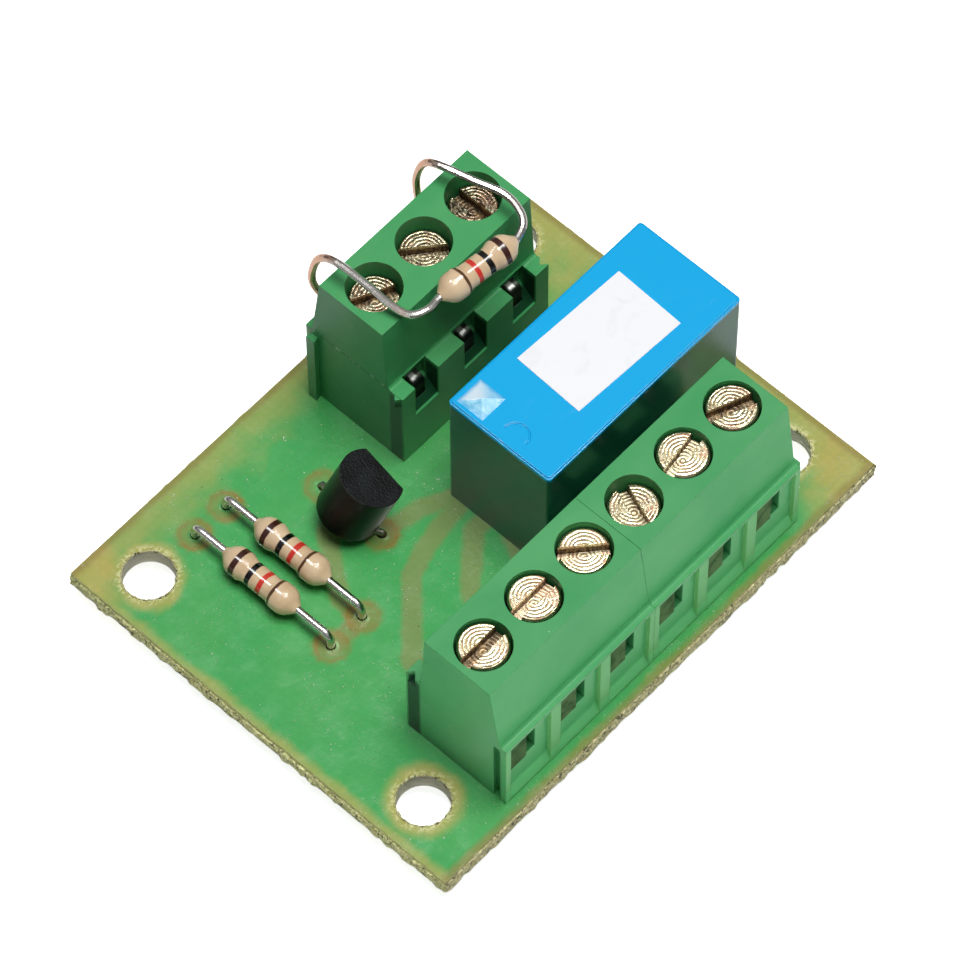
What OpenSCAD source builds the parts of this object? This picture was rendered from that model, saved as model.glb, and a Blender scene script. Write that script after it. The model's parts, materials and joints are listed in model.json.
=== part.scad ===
// Relay module board: a single-sided circuit board that carries a small
// two-pole relay, screw terminal blocks, a driver transistor, two resistors
// and a flyback diode. A third resistor is clamped in the input terminals.
// All lengths are in millimetres. X runs along the long side of the board,
// Y from the output terminals to the input terminals, Z up.
// The origin is under the board's centre, at the tips of the terminal pins.

/* [Circuit board] */
// Length of the board along X
board_l = 45; // [44:0.5:60]
// Thickness of the laminate
board_t = 1.5; // [1:0.1:2.4]
// Diameter of the four mounting holes
mount_hole_d = 3.9; // [2.5:0.1:4.5]
// Distance between mounting holes along X
mount_span_x = 37.8; // [37:0.1:39]
// Distance between mounting holes along Y
mount_span_y = 26.4; // [25:0.1:27]
// How far the hole pattern's centre lies behind the board's centre
mount_shift_y = 0.6; // [0:0.1:1]
// Margin between the front edge and the output terminals
front_margin = 1; // [0.6:0.1:3]
// Gap between the output terminals and the relay
output_gap = 0.9; // [0.6:0.1:4]
// Gap between the relay and the input terminals, where the diode lies
input_gap = 4.1; // [3.6:0.1:8]
// Margin between the input terminals and the rear edge
rear_margin = 1.9; // [1.6:0.1:4]
// Margin between the relay and the right edge
relay_margin = 2.2; // [1:0.1:4]
// How far the terminal pins stand out below the board
pin_drop = 1.5; // [1.2:0.1:3]
// How far the trimmed leads of the other parts stand out below the board
lead_drop = 1.2; // [0.8:0.1:1.2]

/* [Copper and solder] */
// Thickness of the copper foil
track_t = 0.04; // [0.03:0.01:0.1]
// Width of the tracks
track_w = 1.1; // [0.6:0.1:1.2]
// Diameter of the solder pads
pad_d = 2.4; // [2:0.1:2.5]
// Height of a solder fillet below the foil
solder_h = 0.8; // [0.5:0.1:1]
// Radial clearance of a lead in its drilled hole
hole_clear = 0.06; // [0.05:0.01:0.2]

/* [Terminal block housings] */
// Distance between neighbouring poles
pole_pitch = 5.08; // [5:0.01:5.2]
// Depth of a block from the wire face to the rear ledge
block_depth = 9.3; // [9.2:0.1:10]
// Height of the output blocks above the board
output_block_h = 14.2; // [14:0.1:16]
// Height of the ledges of the output blocks
output_ledge_h = 7.7; // [7.6:0.1:9]
// Height of the input block above the board
input_block_h = 15.4; // [14.2:0.1:17]
// Height of the ledges of the input block
input_ledge_h = 8.6; // [7.6:0.1:9.4]
// Depth of the step along the foot of the front slope
front_step = 0.6; // [0.5:0.05:0.7]
// Setback of the front slope from its foot to the top face
front_lean = 0.9; // [0.5:0.05:1.1]
// Depth of the rear ledge
ledge_w = 1.4; // [1.2:0.05:1.5]
// Setback of the rear wall from its foot to the top face
rear_lean = 0.4; // [0.2:0.05:0.45]
// Radius of the hollow corners where the sloped walls meet the ledges
corner_r = 0.3; // [0.1:0.05:0.4]
// Width of the ribs between the wire entries
rib_w = 1.0; // [0.8:0.05:1.2]
// Recess of the panels between the ribs
panel_recess = 0.35; // [0.2:0.05:0.5]
// Width of a wire entry
entry_w = 2.6; // [2:0.05:2.8]
// Height from a clamp's floor to the top of its wire entry
entry_h = 4; // [3.5:0.1:4.4]
// Height of a clamp's floor above the board
entry_z = 2.9; // [2.7:0.1:3]
// Height of the sill that the wire entry has above its clamp's floor
entry_sill = 0.95; // [0.6:0.05:1.3]
// Distance from a rib to the wire entry beside it
entry_margin = 0.2; // [0.15:0.05:0.4]
// Width of the rear notches above the contacts
notch_w = 2.4; // [1.8:0.1:3]
// Diameter of the screw bores in the top face
screw_bore_d = 4.1; // [3.9:0.05:4.4]
// How far a joining tongue stands out of the end face
tongue_out = 0.52; // [0.3:0.02:0.52]

/* [Clamps] */
// Distance of the screw axes behind the wire face
screw_y = 4.4; // [4.3:0.05:4.5]
// Diameter of a screw head
screw_head_d = 3.7; // [3.4:0.05:3.8]
// Height of a screw head
screw_head_h = 1.4; // [1.2:0.05:1.6]
// Diameter of a screw's shank
screw_d = 2.5; // [2.2:0.05:2.6]
// How far a raised screw stands off the contact blade
screw_play = 0.7; // [0.3:0.05:0.8]
// Width of a screwdriver slot
slot_w = 0.9; // [0.6:0.05:1]
// Depth of a screwdriver slot
slot_depth = 1; // [0.5:0.05:1.1]
// Depth of a clamp cage along the wire
cage_d = 5.4; // [5:0.1:5.4]
// Thickness of a cage's side walls
cage_side = 0.55; // [0.4:0.05:0.6]
// Thickness of a cage's floor
cage_floor = 0.8; // [0.6:0.05:1]
// Thickness of a cage's threaded top
cage_top = 1.3; // [1.1:0.05:1.4]
// Height of the window through a cage
window_h = 3.7; // [3.4:0.05:3.8]
// Thickness of the contact blades and their pins
blade_t = 0.6; // [0.5:0.05:0.7]
// Width of the contact's leg in the rear notch
leg_w = 1; // [1:0.05:1.4]
// Width of a terminal pin below the board's top
pin_w = 1; // [0.8:0.05:1]

/* [Relay] */
// Length of the relay case
relay_l = 20; // [19.5:0.1:20.6]
// Width of the relay case
relay_w = 9.5; // [9.4:0.1:9.8]
// Height of the relay above the board
relay_h = 12.9; // [9:0.1:14]
// Wall thickness of the case
relay_wall = 0.5; // [0.4:0.05:0.6]
// Distance between the two rows of relay pins
relay_row = 7.62; // [7.3:0.01:7.7]
// Distance between neighbouring contact pins of the relay
relay_pitch = 5.08; // [4.9:0.01:5.2]
// Distance from the ends of the case to the first and last pins
relay_inset = 1.11; // [1.11:0.01:1.5]
// Diameter of a relay pin
relay_pin_d = 0.6; // [0.5:0.05:0.8]
// Length of the white label
label_l = 10.1; // [8:0.1:12]
// Width of the white label
label_w = 6.05; // [4:0.05:7]

/* [Resistors, transistor and diode] */
// Length of a resistor body
resistor_l = 6.7; // [6:0.1:7.4]
// Diameter of a resistor's bulging ends
resistor_d = 2.25; // [2:0.05:2.6]
// Diameter of a resistor's waist
resistor_waist_d = 1.9; // [1.7:0.05:2]
// Distance between the two holes of a resistor
resistor_span = 13.2; // [12:0.1:13.4]
// Diameter of the resistor and diode leads
lead_d = 0.6; // [0.5:0.05:0.7]
// Radius of the bend in a resistor lead
lead_bend = 0.75; // [0.5:0.05:1]
// Diameter of the transistor's round side
transistor_d = 4.8; // [4.4:0.1:5]
// Height of the transistor's body
transistor_h = 4.7; // [4:0.1:5.2]
// Height of the transistor's body above the board
transistor_lift = 1.4; // [1:0.1:2]
// Lean of the transistor towards its flat side, in degrees
transistor_lean_x = 17; // [0:1:20]
// Lean of the transistor towards the output terminals, in degrees
transistor_lean_y = 14; // [0:1:18]
// Diameter of the diode's body
diode_d = 2.6; // [2:0.1:2.7]
// Length of the diode's body
diode_l = 5; // [4:0.1:5.4]
// Distance between the two holes of the diode
diode_span = 10.16; // [9:0.01:11]
// Distance between neighbouring transistor holes
transistor_pitch = 2.9; // [2.54:0.01:3.2]

/* [Hidden] */
$fn = 48;
BLOCK_POLES = 3;
OUTPUT_POLES = 2 * BLOCK_POLES;

housing_green = [0.24, 0.60, 0.36];
laminate_green = [0.35, 0.66, 0.40];
steel = [0.78, 0.76, 0.70];
tin = [0.82, 0.82, 0.80];
brass = [0.72, 0.62, 0.36];
copper = [0.72, 0.45, 0.25];
relay_blue = [0.02, 0.62, 0.88];
resistor_tan = [0.80, 0.66, 0.50];

// Overlap that carries a cut past a face
eps = 0.05;
// Running gap between parts that touch in the clamp
run_gap = 0.05;
// Clearance of a cage in its chamber, on each side
chamber_gap = 0.1;
// Gap between neighbouring blocks
block_gap = 0.02;
// Radial clearance of a screw's shank in its cage's thread
thread_gap = 0.04;
// Clearance of a screw and of a blade in a cage's window, on each side
window_gap = 0.1;
blade_gap = 0.15;

board_top = pin_drop + board_t;
board_w = front_margin + block_depth + output_gap + relay_w + input_gap
    + block_depth + rear_margin;
block_len = BLOCK_POLES * pole_pitch - block_gap;

// ---- Placement on the board, from its front left corner, top face up ----

module on_board() {
    translate([-board_l / 2, -board_w / 2, board_top]) children();
}

// Front left corner of the row of output blocks
output_x = (board_l - OUTPUT_POLES * pole_pitch) / 2;
output_y = front_margin;
// The input block lines up with the last poles of the output row and
// faces the other way
input_x = output_x + OUTPUT_POLES * pole_pitch;
input_y = board_w - rear_margin;
// Front left corner of the relay
relay_x = board_l - relay_margin - relay_l;
relay_y = output_y + block_depth + output_gap;

module output_frame() {
    on_board() translate([output_x, output_y, 0]) children();
}

module input_frame() {
    on_board() translate([input_x, input_y, 0]) rotate(180) children();
}

function pole_x(i) = (i + 0.5) * pole_pitch;
// Places of the poles on the board; the input poles are counted from the left
function output_pole(i) = [output_x + pole_x(i), output_y];
function input_local(i) = BLOCK_POLES - 1 - i;
function input_pole(i) = [input_x - pole_x(input_local(i)), input_y];

// ---- Heights inside a terminal block ----

blade_z = entry_z + entry_h;
window_w = screw_d + 2 * window_gap;
cage_w = window_w + 2 * cage_side;
blade_w = window_w - 2 * blade_gap;
blade_top = blade_z + blade_t;
// An open cage hangs on its blade; a closed one lifts its floor to the blade
cage_top_z = blade_top + run_gap;
cage_floor_z = cage_top_z - window_h;
cage_travel = blade_z - run_gap - cage_floor_z;
chamber_top_z = cage_top_z + cage_top + cage_travel + chamber_gap;
// A sunk screw stands on its blade, with its head above the closed cage
screw_tip_z = blade_top + run_gap;
shank_len = chamber_top_z - screw_tip_z;
screw_len = shank_len + screw_head_h;
// The input cages are closed on the leads of the third resistor
input_cage_lift = blade_z - 2 * run_gap - lead_d - cage_floor_z;

leg_y = block_depth - 1;
notch_y = block_depth - ledge_w - 0.2;
sill_in_z = output_ledge_h - 1.2;
sill_out_z = output_ledge_h - 2.8;
lip_t = 0.4;
foot_h = 1.2;
chamber_w = cage_w + 2 * chamber_gap;
chamber_d = cage_d + 2 * chamber_gap;

// Tongue and slot that join blocks end to end
tongue_y = 0.85;
tongue_root = 0.5;
tongue_head = 0.8;
tongue_clear = 0.05;
tongue_drop = 0.5;
// Short rib and notch at the rear corners of the ledges
rear_rib = 0.35;
rear_rib_h = 1.1;
rear_rib_y = block_depth - rear_rib - 0.1;

// ---- Terminal block housing ----

// Fills an inner corner at the origin whose walls go left and up
module hollow_corner(r) {
    difference() {
        translate([-r, 0]) square([r + eps, r]);
        translate([-r, r]) circle(r);
    }
}

// Side outline of a block: x is the depth, y the height
module block_outline(h, ledge) {
    slope_y = front_step + front_lean;
    wall_y = block_depth - ledge_w;
    polygon([
        [0, 0], [0, ledge], [front_step, ledge], [slope_y, h],
        [wall_y - rear_lean, h], [wall_y, ledge],
        [block_depth, ledge], [block_depth, 0]
    ]);
    translate([front_step, ledge]) hollow_corner(corner_r);
    translate([wall_y, ledge]) mirror([1, 0]) hollow_corner(corner_r);
}

// Extrudes a side outline along the block
module along_block(x, w) {
    translate([x, 0, 0]) rotate([90, 0, 90]) linear_extrude(w) children();
}

// Dovetail seen from above, standing out along +X from the origin
module dovetail(out, grow) {
    polygon([
        [-eps, -tongue_root / 2 - grow], [out, -tongue_head / 2 - grow],
        [out, tongue_head / 2 + grow], [-eps, tongue_root / 2 + grow]
    ]);
}

// Small triangular rib at the rear corner of an end face
module corner_rib(out, grow) {
    polygon([
        [-eps, -out - grow], [out, -grow], [out, grow], [-eps, out + grow]
    ]);
}

// Everything that is cut out of a housing for one pole
module pole_cuts(i, h, ledge) {
    left = i * pole_pitch;
    panel_w = pole_pitch - rib_w;
    entry_x = left + rib_w / 2 + entry_margin;
    chamber_y = screw_y - chamber_d / 2;
    // recessed panel with a sloped foot
    along_block(left + rib_w / 2, panel_w) polygon([
        [-eps, foot_h / 4], [0, foot_h / 4], [panel_recess, foot_h],
        [panel_recess, ledge - lip_t], [-eps, ledge - lip_t]
    ]);
    // wire entry
    translate([entry_x, -eps, entry_z + entry_sill])
        cube([entry_w, chamber_y + 2 * eps, entry_h - entry_sill]);
    // chamber of the cage, open at the bottom
    translate([left + pole_pitch / 2 - chamber_w / 2, chamber_y, -eps])
        cube([chamber_w, chamber_d, chamber_top_z + eps]);
    translate([left + pole_pitch / 2, screw_y, chamber_top_z - eps])
        cylinder(d = screw_bore_d, h = h - chamber_top_z + 2 * eps);
    // channel of the contact's leg
    translate([left + pole_pitch / 2 - leg_w / 2 - run_gap, leg_y - blade_t / 2 - run_gap, -eps])
        cube([leg_w + 2 * run_gap, blade_t + 2 * run_gap, blade_top + run_gap + eps]);
    translate([left + pole_pitch / 2 - leg_w / 2 - run_gap, screw_y, blade_z - run_gap])
        cube([leg_w + 2 * run_gap, leg_y - screw_y, blade_t + 2 * run_gap]);
    // rear notch with a sloped sill
    along_block(left + pole_pitch / 2 - notch_w / 2, notch_w) polygon([
        [notch_y, sill_in_z], [block_depth + eps, sill_out_z],
        [block_depth + eps, ledge + eps], [notch_y, ledge + eps]
    ]);
}

module housing(h, ledge) {
    color(housing_green) {
        difference() {
            along_block(0, block_len) block_outline(h, ledge);
            for (i = [0 : BLOCK_POLES - 1]) pole_cuts(i, h, ledge);
            // slot and groove in the left end face
            translate([0, tongue_y, -eps])
                linear_extrude(ledge - tongue_drop + eps)
                    dovetail(tongue_out + tongue_clear, tongue_clear);
            translate([0, rear_rib_y, ledge - rear_rib_h - tongue_clear])
                linear_extrude(rear_rib_h + 2 * tongue_clear)
                    corner_rib(rear_rib + tongue_clear, tongue_clear);
        }
        // tongue and rib on the right end face
        translate([block_len, tongue_y, 0])
            linear_extrude(ledge - tongue_drop - tongue_clear)
                dovetail(tongue_out, 0);
        translate([block_len, rear_rib_y, ledge - rear_rib_h])
            linear_extrude(rear_rib_h - tongue_clear)
                corner_rib(rear_rib, 0);
    }
}

module output_housing_left() {
    output_frame() housing(output_block_h, output_ledge_h);
}

module output_housing_right() {
    output_frame() translate([BLOCK_POLES * pole_pitch, 0, 0])
        housing(output_block_h, output_ledge_h);
}

module input_housing() {
    input_frame() housing(input_block_h, input_ledge_h);
}

// ---- Metal parts of one pole, with the pole's centre plane at x = 0 ----

module in_output_pole(i) {
    output_frame() translate([pole_x(i), 0, 0]) children();
}

module in_input_pole(i) {
    input_frame() translate([pole_x(input_local(i)), 0, 0]) children();
}

// Side outline of a contact: blade, rounded bend and leg
module contact_outline(y0) {
    bend = blade_t;
    rear = leg_y + blade_t / 2;
    translate([y0, blade_z]) square([rear - bend - y0, blade_t]);
    translate([leg_y - blade_t / 2, 0]) square([blade_t, blade_top - bend]);
    intersection() {
        translate([rear - bend, blade_top - bend]) circle(bend);
        translate([rear - bend - eps, blade_top - bend - eps]) square(bend + 2 * eps);
    }
}

module contact() {
    color(tin) {
        // blade inside the cage
        translate([-blade_w / 2, screw_y - cage_d / 2 + 0.3, blade_z])
            cube([blade_w, cage_d - 0.3, blade_t]);
        // neck, bend and leg
        along_block(-leg_w / 2, leg_w) contact_outline(screw_y);
        // pin through the board, with a bevelled tip
        translate([0, leg_y, 0]) rotate([90, 0, 0])
            linear_extrude(blade_t, center = true) polygon([
                [-pin_w / 2, 0], [-pin_w / 2, -board_top + 0.3],
                [-pin_w / 4, -board_top], [pin_w / 4, -board_top],
                [pin_w / 2, -board_top + 0.3], [pin_w / 2, 0]
            ]);
    }
}

// Folded cage: a rectangular tube with round outer corners and a tapped top
module cage(lift) {
    tall = cage_floor + window_h + cage_top;
    round_r = 0.4;
    color(brass) translate([0, 0, cage_floor_z + lift]) difference() {
        translate([0, screw_y + cage_d / 2, -cage_floor]) rotate([90, 0, 0])
            linear_extrude(cage_d) {
                translate([-cage_w / 2 + round_r, 0]) square([cage_w - 2 * round_r, tall]);
                translate([-cage_w / 2, round_r]) square([cage_w, tall - 2 * round_r]);
                for (sx = [-1, 1], z = [round_r, tall - round_r])
                    translate([sx * (cage_w / 2 - round_r), z]) circle(round_r);
            }
        translate([-window_w / 2, screw_y - cage_d, 0])
            cube([window_w, 2 * cage_d, window_h]);
        translate([0, screw_y, window_h - eps])
            cylinder(d = screw_d + 2 * thread_gap, h = cage_top + 2 * eps);
    }
}

// Slotted clamp screw, with its slot turned to the given angle; sunk is 1
// for a screw that stands on its blade and 0 for a raised one
module clamp_screw(angle, sunk) {
    bevel = 0.15;
    tip = 0.4;
    tip_z = screw_tip_z + (1 - sunk) * screw_play;
    color(steel) translate([0, screw_y, tip_z]) difference() {
        rotate_extrude() polygon([
            [0, 0], [screw_d / 2 - tip, 0], [screw_d / 2, tip],
            [screw_d / 2, screw_len - screw_head_h],
            [screw_head_d / 2, screw_len - screw_head_h],
            [screw_head_d / 2, screw_len - bevel],
            [screw_head_d / 2 - bevel, screw_len], [0, screw_len]
        ]);
        rotate(angle) translate([-screw_head_d, -slot_w / 2, screw_len - slot_depth])
            cube([2 * screw_head_d, slot_w, slot_depth + eps]);
    }
}

// Angles at which the screwdriver slots were left
output_slots = [0, 0, -41, 70, 8, -22];
input_slots = [-25, -40, -90];
// How deep each screw was left, as a share of its play
output_sunk = [0, 0, 0.3, 1, 0, 0];
input_sunk = [0, 0, 0];

module output_screw(i) { in_output_pole(i) clamp_screw(output_slots[i], output_sunk[i]); }
module input_screw(i) { in_input_pole(i) clamp_screw(input_slots[i], input_sunk[i]); }
module output_cage(i) { in_output_pole(i) cage(0); }
module input_cage(i) { in_input_pole(i) cage(input_cage_lift); }
module output_contact(i) { in_output_pole(i) contact(); }
module input_contact(i) { in_input_pole(i) contact(); }

// ---- Places of the leads ----

// Coil pins stand at the left end, contact pins at the right end
relay_columns = [relay_inset, relay_l - relay_inset - 2 * relay_pitch,
    relay_l - relay_inset - relay_pitch, relay_l - relay_inset];
relay_mid_y = relay_y + relay_w / 2;
function relay_pin(column, row) =
    [relay_x + relay_columns[column], relay_mid_y + row * relay_row / 2];

// The small parts line up with the left end of the output row and with the
// pins of the input block
input_pin_y = input_y - leg_y;
// Each resistor on the board stands along Y, between two holes
resistor_1 = [output_x + 0.89, input_pin_y - 0.75];
resistor_2 = resistor_1 + [3.2, 0];
// Their bodies sit a little off the middle of the span
resistor_body_shift = 0.05;
resistor_lift = 0.25;

transistor = [resistor_2[0] + 5.8, input_pin_y - 0.95];

// The diode lies in the middle of the gap behind the relay
diode = [relay_x + relay_l / 2 + 0.2, relay_y + relay_w + input_gap / 2];

function along_y(centre, span) =
    [[centre[0], centre[1] - span / 2], [centre[0], centre[1] + span / 2]];
resistor_holes = concat(
    along_y(resistor_1, resistor_span), along_y(resistor_2, resistor_span));
transistor_holes = [for (i = [-1 : 1]) transistor + [0, i * transistor_pitch]];
diode_holes = [for (s = [-1, 1]) diode + [s * diode_span / 2, 0]];
contact_holes = concat(
    [for (i = [0 : OUTPUT_POLES - 1]) output_pole(i) + [0, leg_y]],
    [for (i = [0 : BLOCK_POLES - 1]) input_pole(i) - [0, leg_y]]);
relay_holes = [for (c = [0 : 3], row = [-1, 1]) relay_pin(c, row)];
lead_holes = concat(resistor_holes, transistor_holes, diode_holes);
contact_hole_d = norm([pin_w, blade_t]) + 2 * hole_clear;

module at_each(points) {
    for (p = points) translate([p[0], p[1], 0]) children();
}

// ---- Circuit board, copper and solder ----

module circuit_board() {
    color(laminate_green) on_board() translate([0, 0, -board_t]) difference() {
        cube([board_l, board_w, board_t]);
        for (sx = [-1, 1], sy = [-1, 1])
            translate([board_l / 2 + sx * mount_span_x / 2,
                       board_w / 2 + mount_shift_y + sy * mount_span_y / 2, -eps])
                cylinder(d = mount_hole_d, h = board_t + 2 * eps);
        translate([0, 0, -eps]) {
            at_each(contact_holes) cylinder(d = contact_hole_d, h = board_t + 2 * eps);
            at_each(relay_holes)
                cylinder(d = relay_pin_d + 2 * hole_clear, h = board_t + 2 * eps);
            at_each(lead_holes)
                cylinder(d = lead_d + 2 * hole_clear, h = board_t + 2 * eps);
        }
    }
}

// Straight strips of foil, with a disc that fills each bend
module track(points) {
    for (i = [1 : len(points) - 1]) {
        way = points[i] - points[i - 1];
        translate(points[i - 1]) rotate(atan2(way[1], way[0]))
            translate([0, -track_w / 2]) square([norm(way), track_w]);
    }
    for (i = [1 : len(points) - 2]) translate(points[i]) circle(d = 0.94 * track_w);
}

coil_rear = relay_pin(0, 1);
coil_front = relay_pin(0, -1);
tracks = [
    // coil to the first output, past the left end of the relay
    [coil_rear, coil_rear - [5.6, 0.9], coil_rear - [7.8, 1.7],
        contact_holes[0] + [1.4, 4.1], contact_holes[0]],
    // rear contacts to the second and third outputs
    [relay_pin(1, 1), relay_pin(1, 1) - [1.4, 2.4], coil_rear + [-2.1, -2.4],
        contact_holes[1] + [3.1, 4.9], contact_holes[1]],
    [relay_pin(2, 1), relay_pin(2, 1) - [2.4, 4.2], coil_rear + [-0.6, -4.5],
        contact_holes[2] + [2.2, 3.6], contact_holes[2]],
    [relay_pin(3, 1), relay_pin(3, -1)],
    // front contacts to the last outputs
    [coil_front, contact_holes[3]],
    [relay_pin(1, -1), contact_holes[4]],
    [relay_pin(2, -1), contact_holes[5]],
    // coil to the transistor and the diode
    [coil_rear, coil_rear + [-3.4, 1.6], transistor_holes[0]],
    [coil_rear, coil_rear + [2.4, 2.6], diode_holes[0]],
    [diode_holes[1], contact_holes[8]],
    // base and emitter of the transistor
    [transistor_holes[1], transistor_holes[1] - [2.6, 0],
        resistor_holes[2] + [2.9, 1.9], resistor_holes[2]],
    [transistor_holes[2], transistor_holes[2] + [-2.6, 2.6], resistor_holes[3]],
    [resistor_holes[0], resistor_holes[2]],
    // first resistor to the first input
    [resistor_holes[1], resistor_holes[1] + [1.6, 2.5],
        [contact_holes[6][0] - 5.6, resistor_holes[1][1] + 2.5],
        contact_holes[6] - [3.4, -1.4], contact_holes[6]]
];

module copper_tracks() {
    color(copper) on_board() translate([0, 0, -board_t - track_t])
        linear_extrude(track_t) difference() {
            union() {
                for (points = tracks) track(points);
                at_each(concat(contact_holes, relay_holes, lead_holes)) circle(d = pad_d);
            }
            at_each(contact_holes) circle(d = contact_hole_d);
            at_each(relay_holes) circle(d = relay_pin_d + 2 * hole_clear);
            at_each(lead_holes) circle(d = lead_d + 2 * hole_clear);
        }
}

// Hollow-sided cone of solder around a lead, hanging from the foil
module solder_cone(inner_r) {
    foot_r = pad_d / 2 - 0.1;
    rotate_extrude() difference() {
        translate([0, -solder_h]) square([foot_r, solder_h]);
        translate([foot_r + 0.1, -solder_h - 0.05])
            circle(min(foot_r - inner_r - 0.05, solder_h - 0.1));
    }
}

module solder_joints() {
    color(tin) on_board() translate([0, 0, -board_t - track_t]) {
        difference() {
            at_each(contact_holes) solder_cone(norm([pin_w, blade_t]) / 2);
            at_each(contact_holes) translate([0, 0, -solder_h / 2])
                cube([pin_w, blade_t, 2 * solder_h], center = true);
        }
        difference() {
            at_each(relay_holes) solder_cone(relay_pin_d / 2);
            at_each(relay_holes) translate([0, 0, -2 * solder_h])
                cylinder(d = relay_pin_d, h = 3 * solder_h);
        }
        difference() {
            at_each(lead_holes) solder_cone(lead_d / 2);
            at_each(lead_holes) translate([0, 0, -2 * solder_h])
                cylinder(d = lead_d, h = 3 * solder_h);
        }
    }
}

// ---- Relay ----

relay_base_t = 1;
relay_base_lift = 0.3;
relay_fit = 0.03;

// Box with round upright edges, from the relay's front left corner
module upright_box(l, w, h, r) {
    linear_extrude(h) {
        translate([r, 0]) square([l - 2 * r, w]);
        translate([0, r]) square([l, w - 2 * r]);
        for (x = [r, l - r], y = [r, w - r]) translate([x, y]) circle(r);
    }
}

module relay_frame() {
    on_board() translate([relay_x, relay_y, 0]) children();
}

module relay_case() {
    corner = 0.3;
    rim = 0.12;
    recess_h = relay_base_lift + relay_base_t;
    gate_r = 1.05;
    color(relay_blue) relay_frame() difference() {
        union() {
            upright_box(relay_l, relay_w, relay_h - rim, corner);
            translate([rim, rim, 0])
                upright_box(relay_l - 2 * rim, relay_w - 2 * rim, relay_h, corner);
        }
        // recess that holds the base
        translate([relay_wall, relay_wall, -eps])
            upright_box(relay_l - 2 * relay_wall, relay_w - 2 * relay_wall,
                        recess_h + eps, corner / 2);
        // half-round gate mark beside the left end of the top
        translate([1.1, relay_w / 2 - 0.6, relay_h - 0.06])
            linear_extrude(0.06 + eps) difference() {
                circle(gate_r);
                circle(gate_r - 0.12);
                translate([-2 * gate_r, -gate_r]) square([2 * gate_r, 2 * gate_r]);
            }
    }
}

module relay_base() {
    color([0.12, 0.12, 0.13]) relay_frame() difference() {
        translate([relay_wall + relay_fit, relay_wall + relay_fit, relay_base_lift])
            upright_box(relay_l - 2 * (relay_wall + relay_fit),
                        relay_w - 2 * (relay_wall + relay_fit), relay_base_t, 0.25);
        translate([-relay_x, -relay_y, 0])
            at_each(relay_holes) cylinder(d = relay_pin_d, h = relay_base_lift + 2 * relay_base_t);
    }
}

module relay_pins() {
    top = relay_base_lift + relay_base_t;
    color(tin) on_board() at_each(relay_holes)
        translate([0, 0, -board_t - lead_drop])
            cylinder(d = relay_pin_d, h = board_t + lead_drop + top);
}

// The label was stuck on a little askew
label_t = 0.06;
label_shift = [0.67, 0.25];
label_turn = -2.6;

module relay_label() {
    color("white") relay_frame()
        translate([relay_l / 2 + label_shift[0], relay_w / 2 + label_shift[1], relay_h])
            rotate(label_turn) translate([-label_l / 2, -label_w / 2, 0])
                cube([label_l, label_w, label_t]);
}

// ---- Wires and leaded parts ----

// Lead that leaves a body at height z along +X, bends down and goes through
// the board; x0 is the body's end and x1 the hole, from the body's centre
module formed_lead(x0, x1, z) {
    translate([x0, 0, z]) rotate([0, 90, 0]) cylinder(d = lead_d, h = x1 - lead_bend - x0);
    translate([x1 - lead_bend, 0, z - lead_bend]) rotate([90, 0, 0])
        rotate_extrude(angle = 90) translate([lead_bend, 0]) circle(d = lead_d);
    translate([x1, 0, -board_t - lead_drop])
        cylinder(d = lead_d, h = board_t + lead_drop + z - lead_bend);
}

// Moulded resistor body along X, centred: two bulbs, a waist and short necks
module resistor_shape() {
    end_r = resistor_d / 2;
    waist_r = resistor_waist_d / 2;
    bulb_x = resistor_l / 2 - end_r;
    neck = 0.15;
    rotate([0, 90, 0]) difference() {
        rotate_extrude() {
            for (s = [-1, 1]) {
                intersection() {
                    translate([0, s * bulb_x]) circle(end_r);
                    translate([0, -resistor_l]) square([end_r, 2 * resistor_l]);
                }
            }
            polygon([
                [0, -resistor_l / 2 - neck], [lead_d / 2 + 0.05, -resistor_l / 2 - neck],
                [end_r * 0.7, -bulb_x - end_r * 0.7],
                [end_r, -bulb_x], [end_r, -bulb_x + 0.6], [waist_r, -bulb_x + 1.1],
                [waist_r, bulb_x - 1.1], [end_r, bulb_x - 0.6], [end_r, bulb_x],
                [end_r * 0.7, bulb_x + end_r * 0.7],
                [lead_d / 2 + 0.05, resistor_l / 2 + neck], [0, resistor_l / 2 + neck]
            ]);
        }
        for (s = [-1, 1]) translate([0, 0, s * (resistor_l / 2 + neck) - 0.5])
            cylinder(d = lead_d, h = 1);
    }
}

// Where a lead ends inside the body
lead_seat = resistor_l / 2 - 0.15;
resistor_z = resistor_d / 2 + resistor_lift;

module resistor_frame(centre) {
    on_board() translate([centre[0], centre[1], 0]) rotate(90) children();
}

module board_resistor_body(centre) {
    color(resistor_tan) resistor_frame(centre)
        translate([resistor_body_shift, 0, resistor_z]) resistor_shape();
}

module board_resistor_leads(centre) {
    half = resistor_span / 2;
    color(tin) resistor_frame(centre) {
        formed_lead(resistor_body_shift + lead_seat, half, resistor_z);
        mirror([1, 0, 0])
            formed_lead(-resistor_body_shift + lead_seat, half, resistor_z);
    }
}

module resistor_1_body() { board_resistor_body(resistor_1); }
module resistor_1_leads() { board_resistor_leads(resistor_1); }
module resistor_2_body() { board_resistor_body(resistor_2); }
module resistor_2_leads() { board_resistor_leads(resistor_2); }

// The third resistor lies over the rear edge of the input block. Its places
// are measured from the first input pole: x from the pole, y from the wire
// face towards the relay, z from the top of the block.
resistor_3_turn = -6;
resistor_3_left = [2.05, 8.85, 1.2];
resistor_3_step = resistor_l + 0.1;

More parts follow.
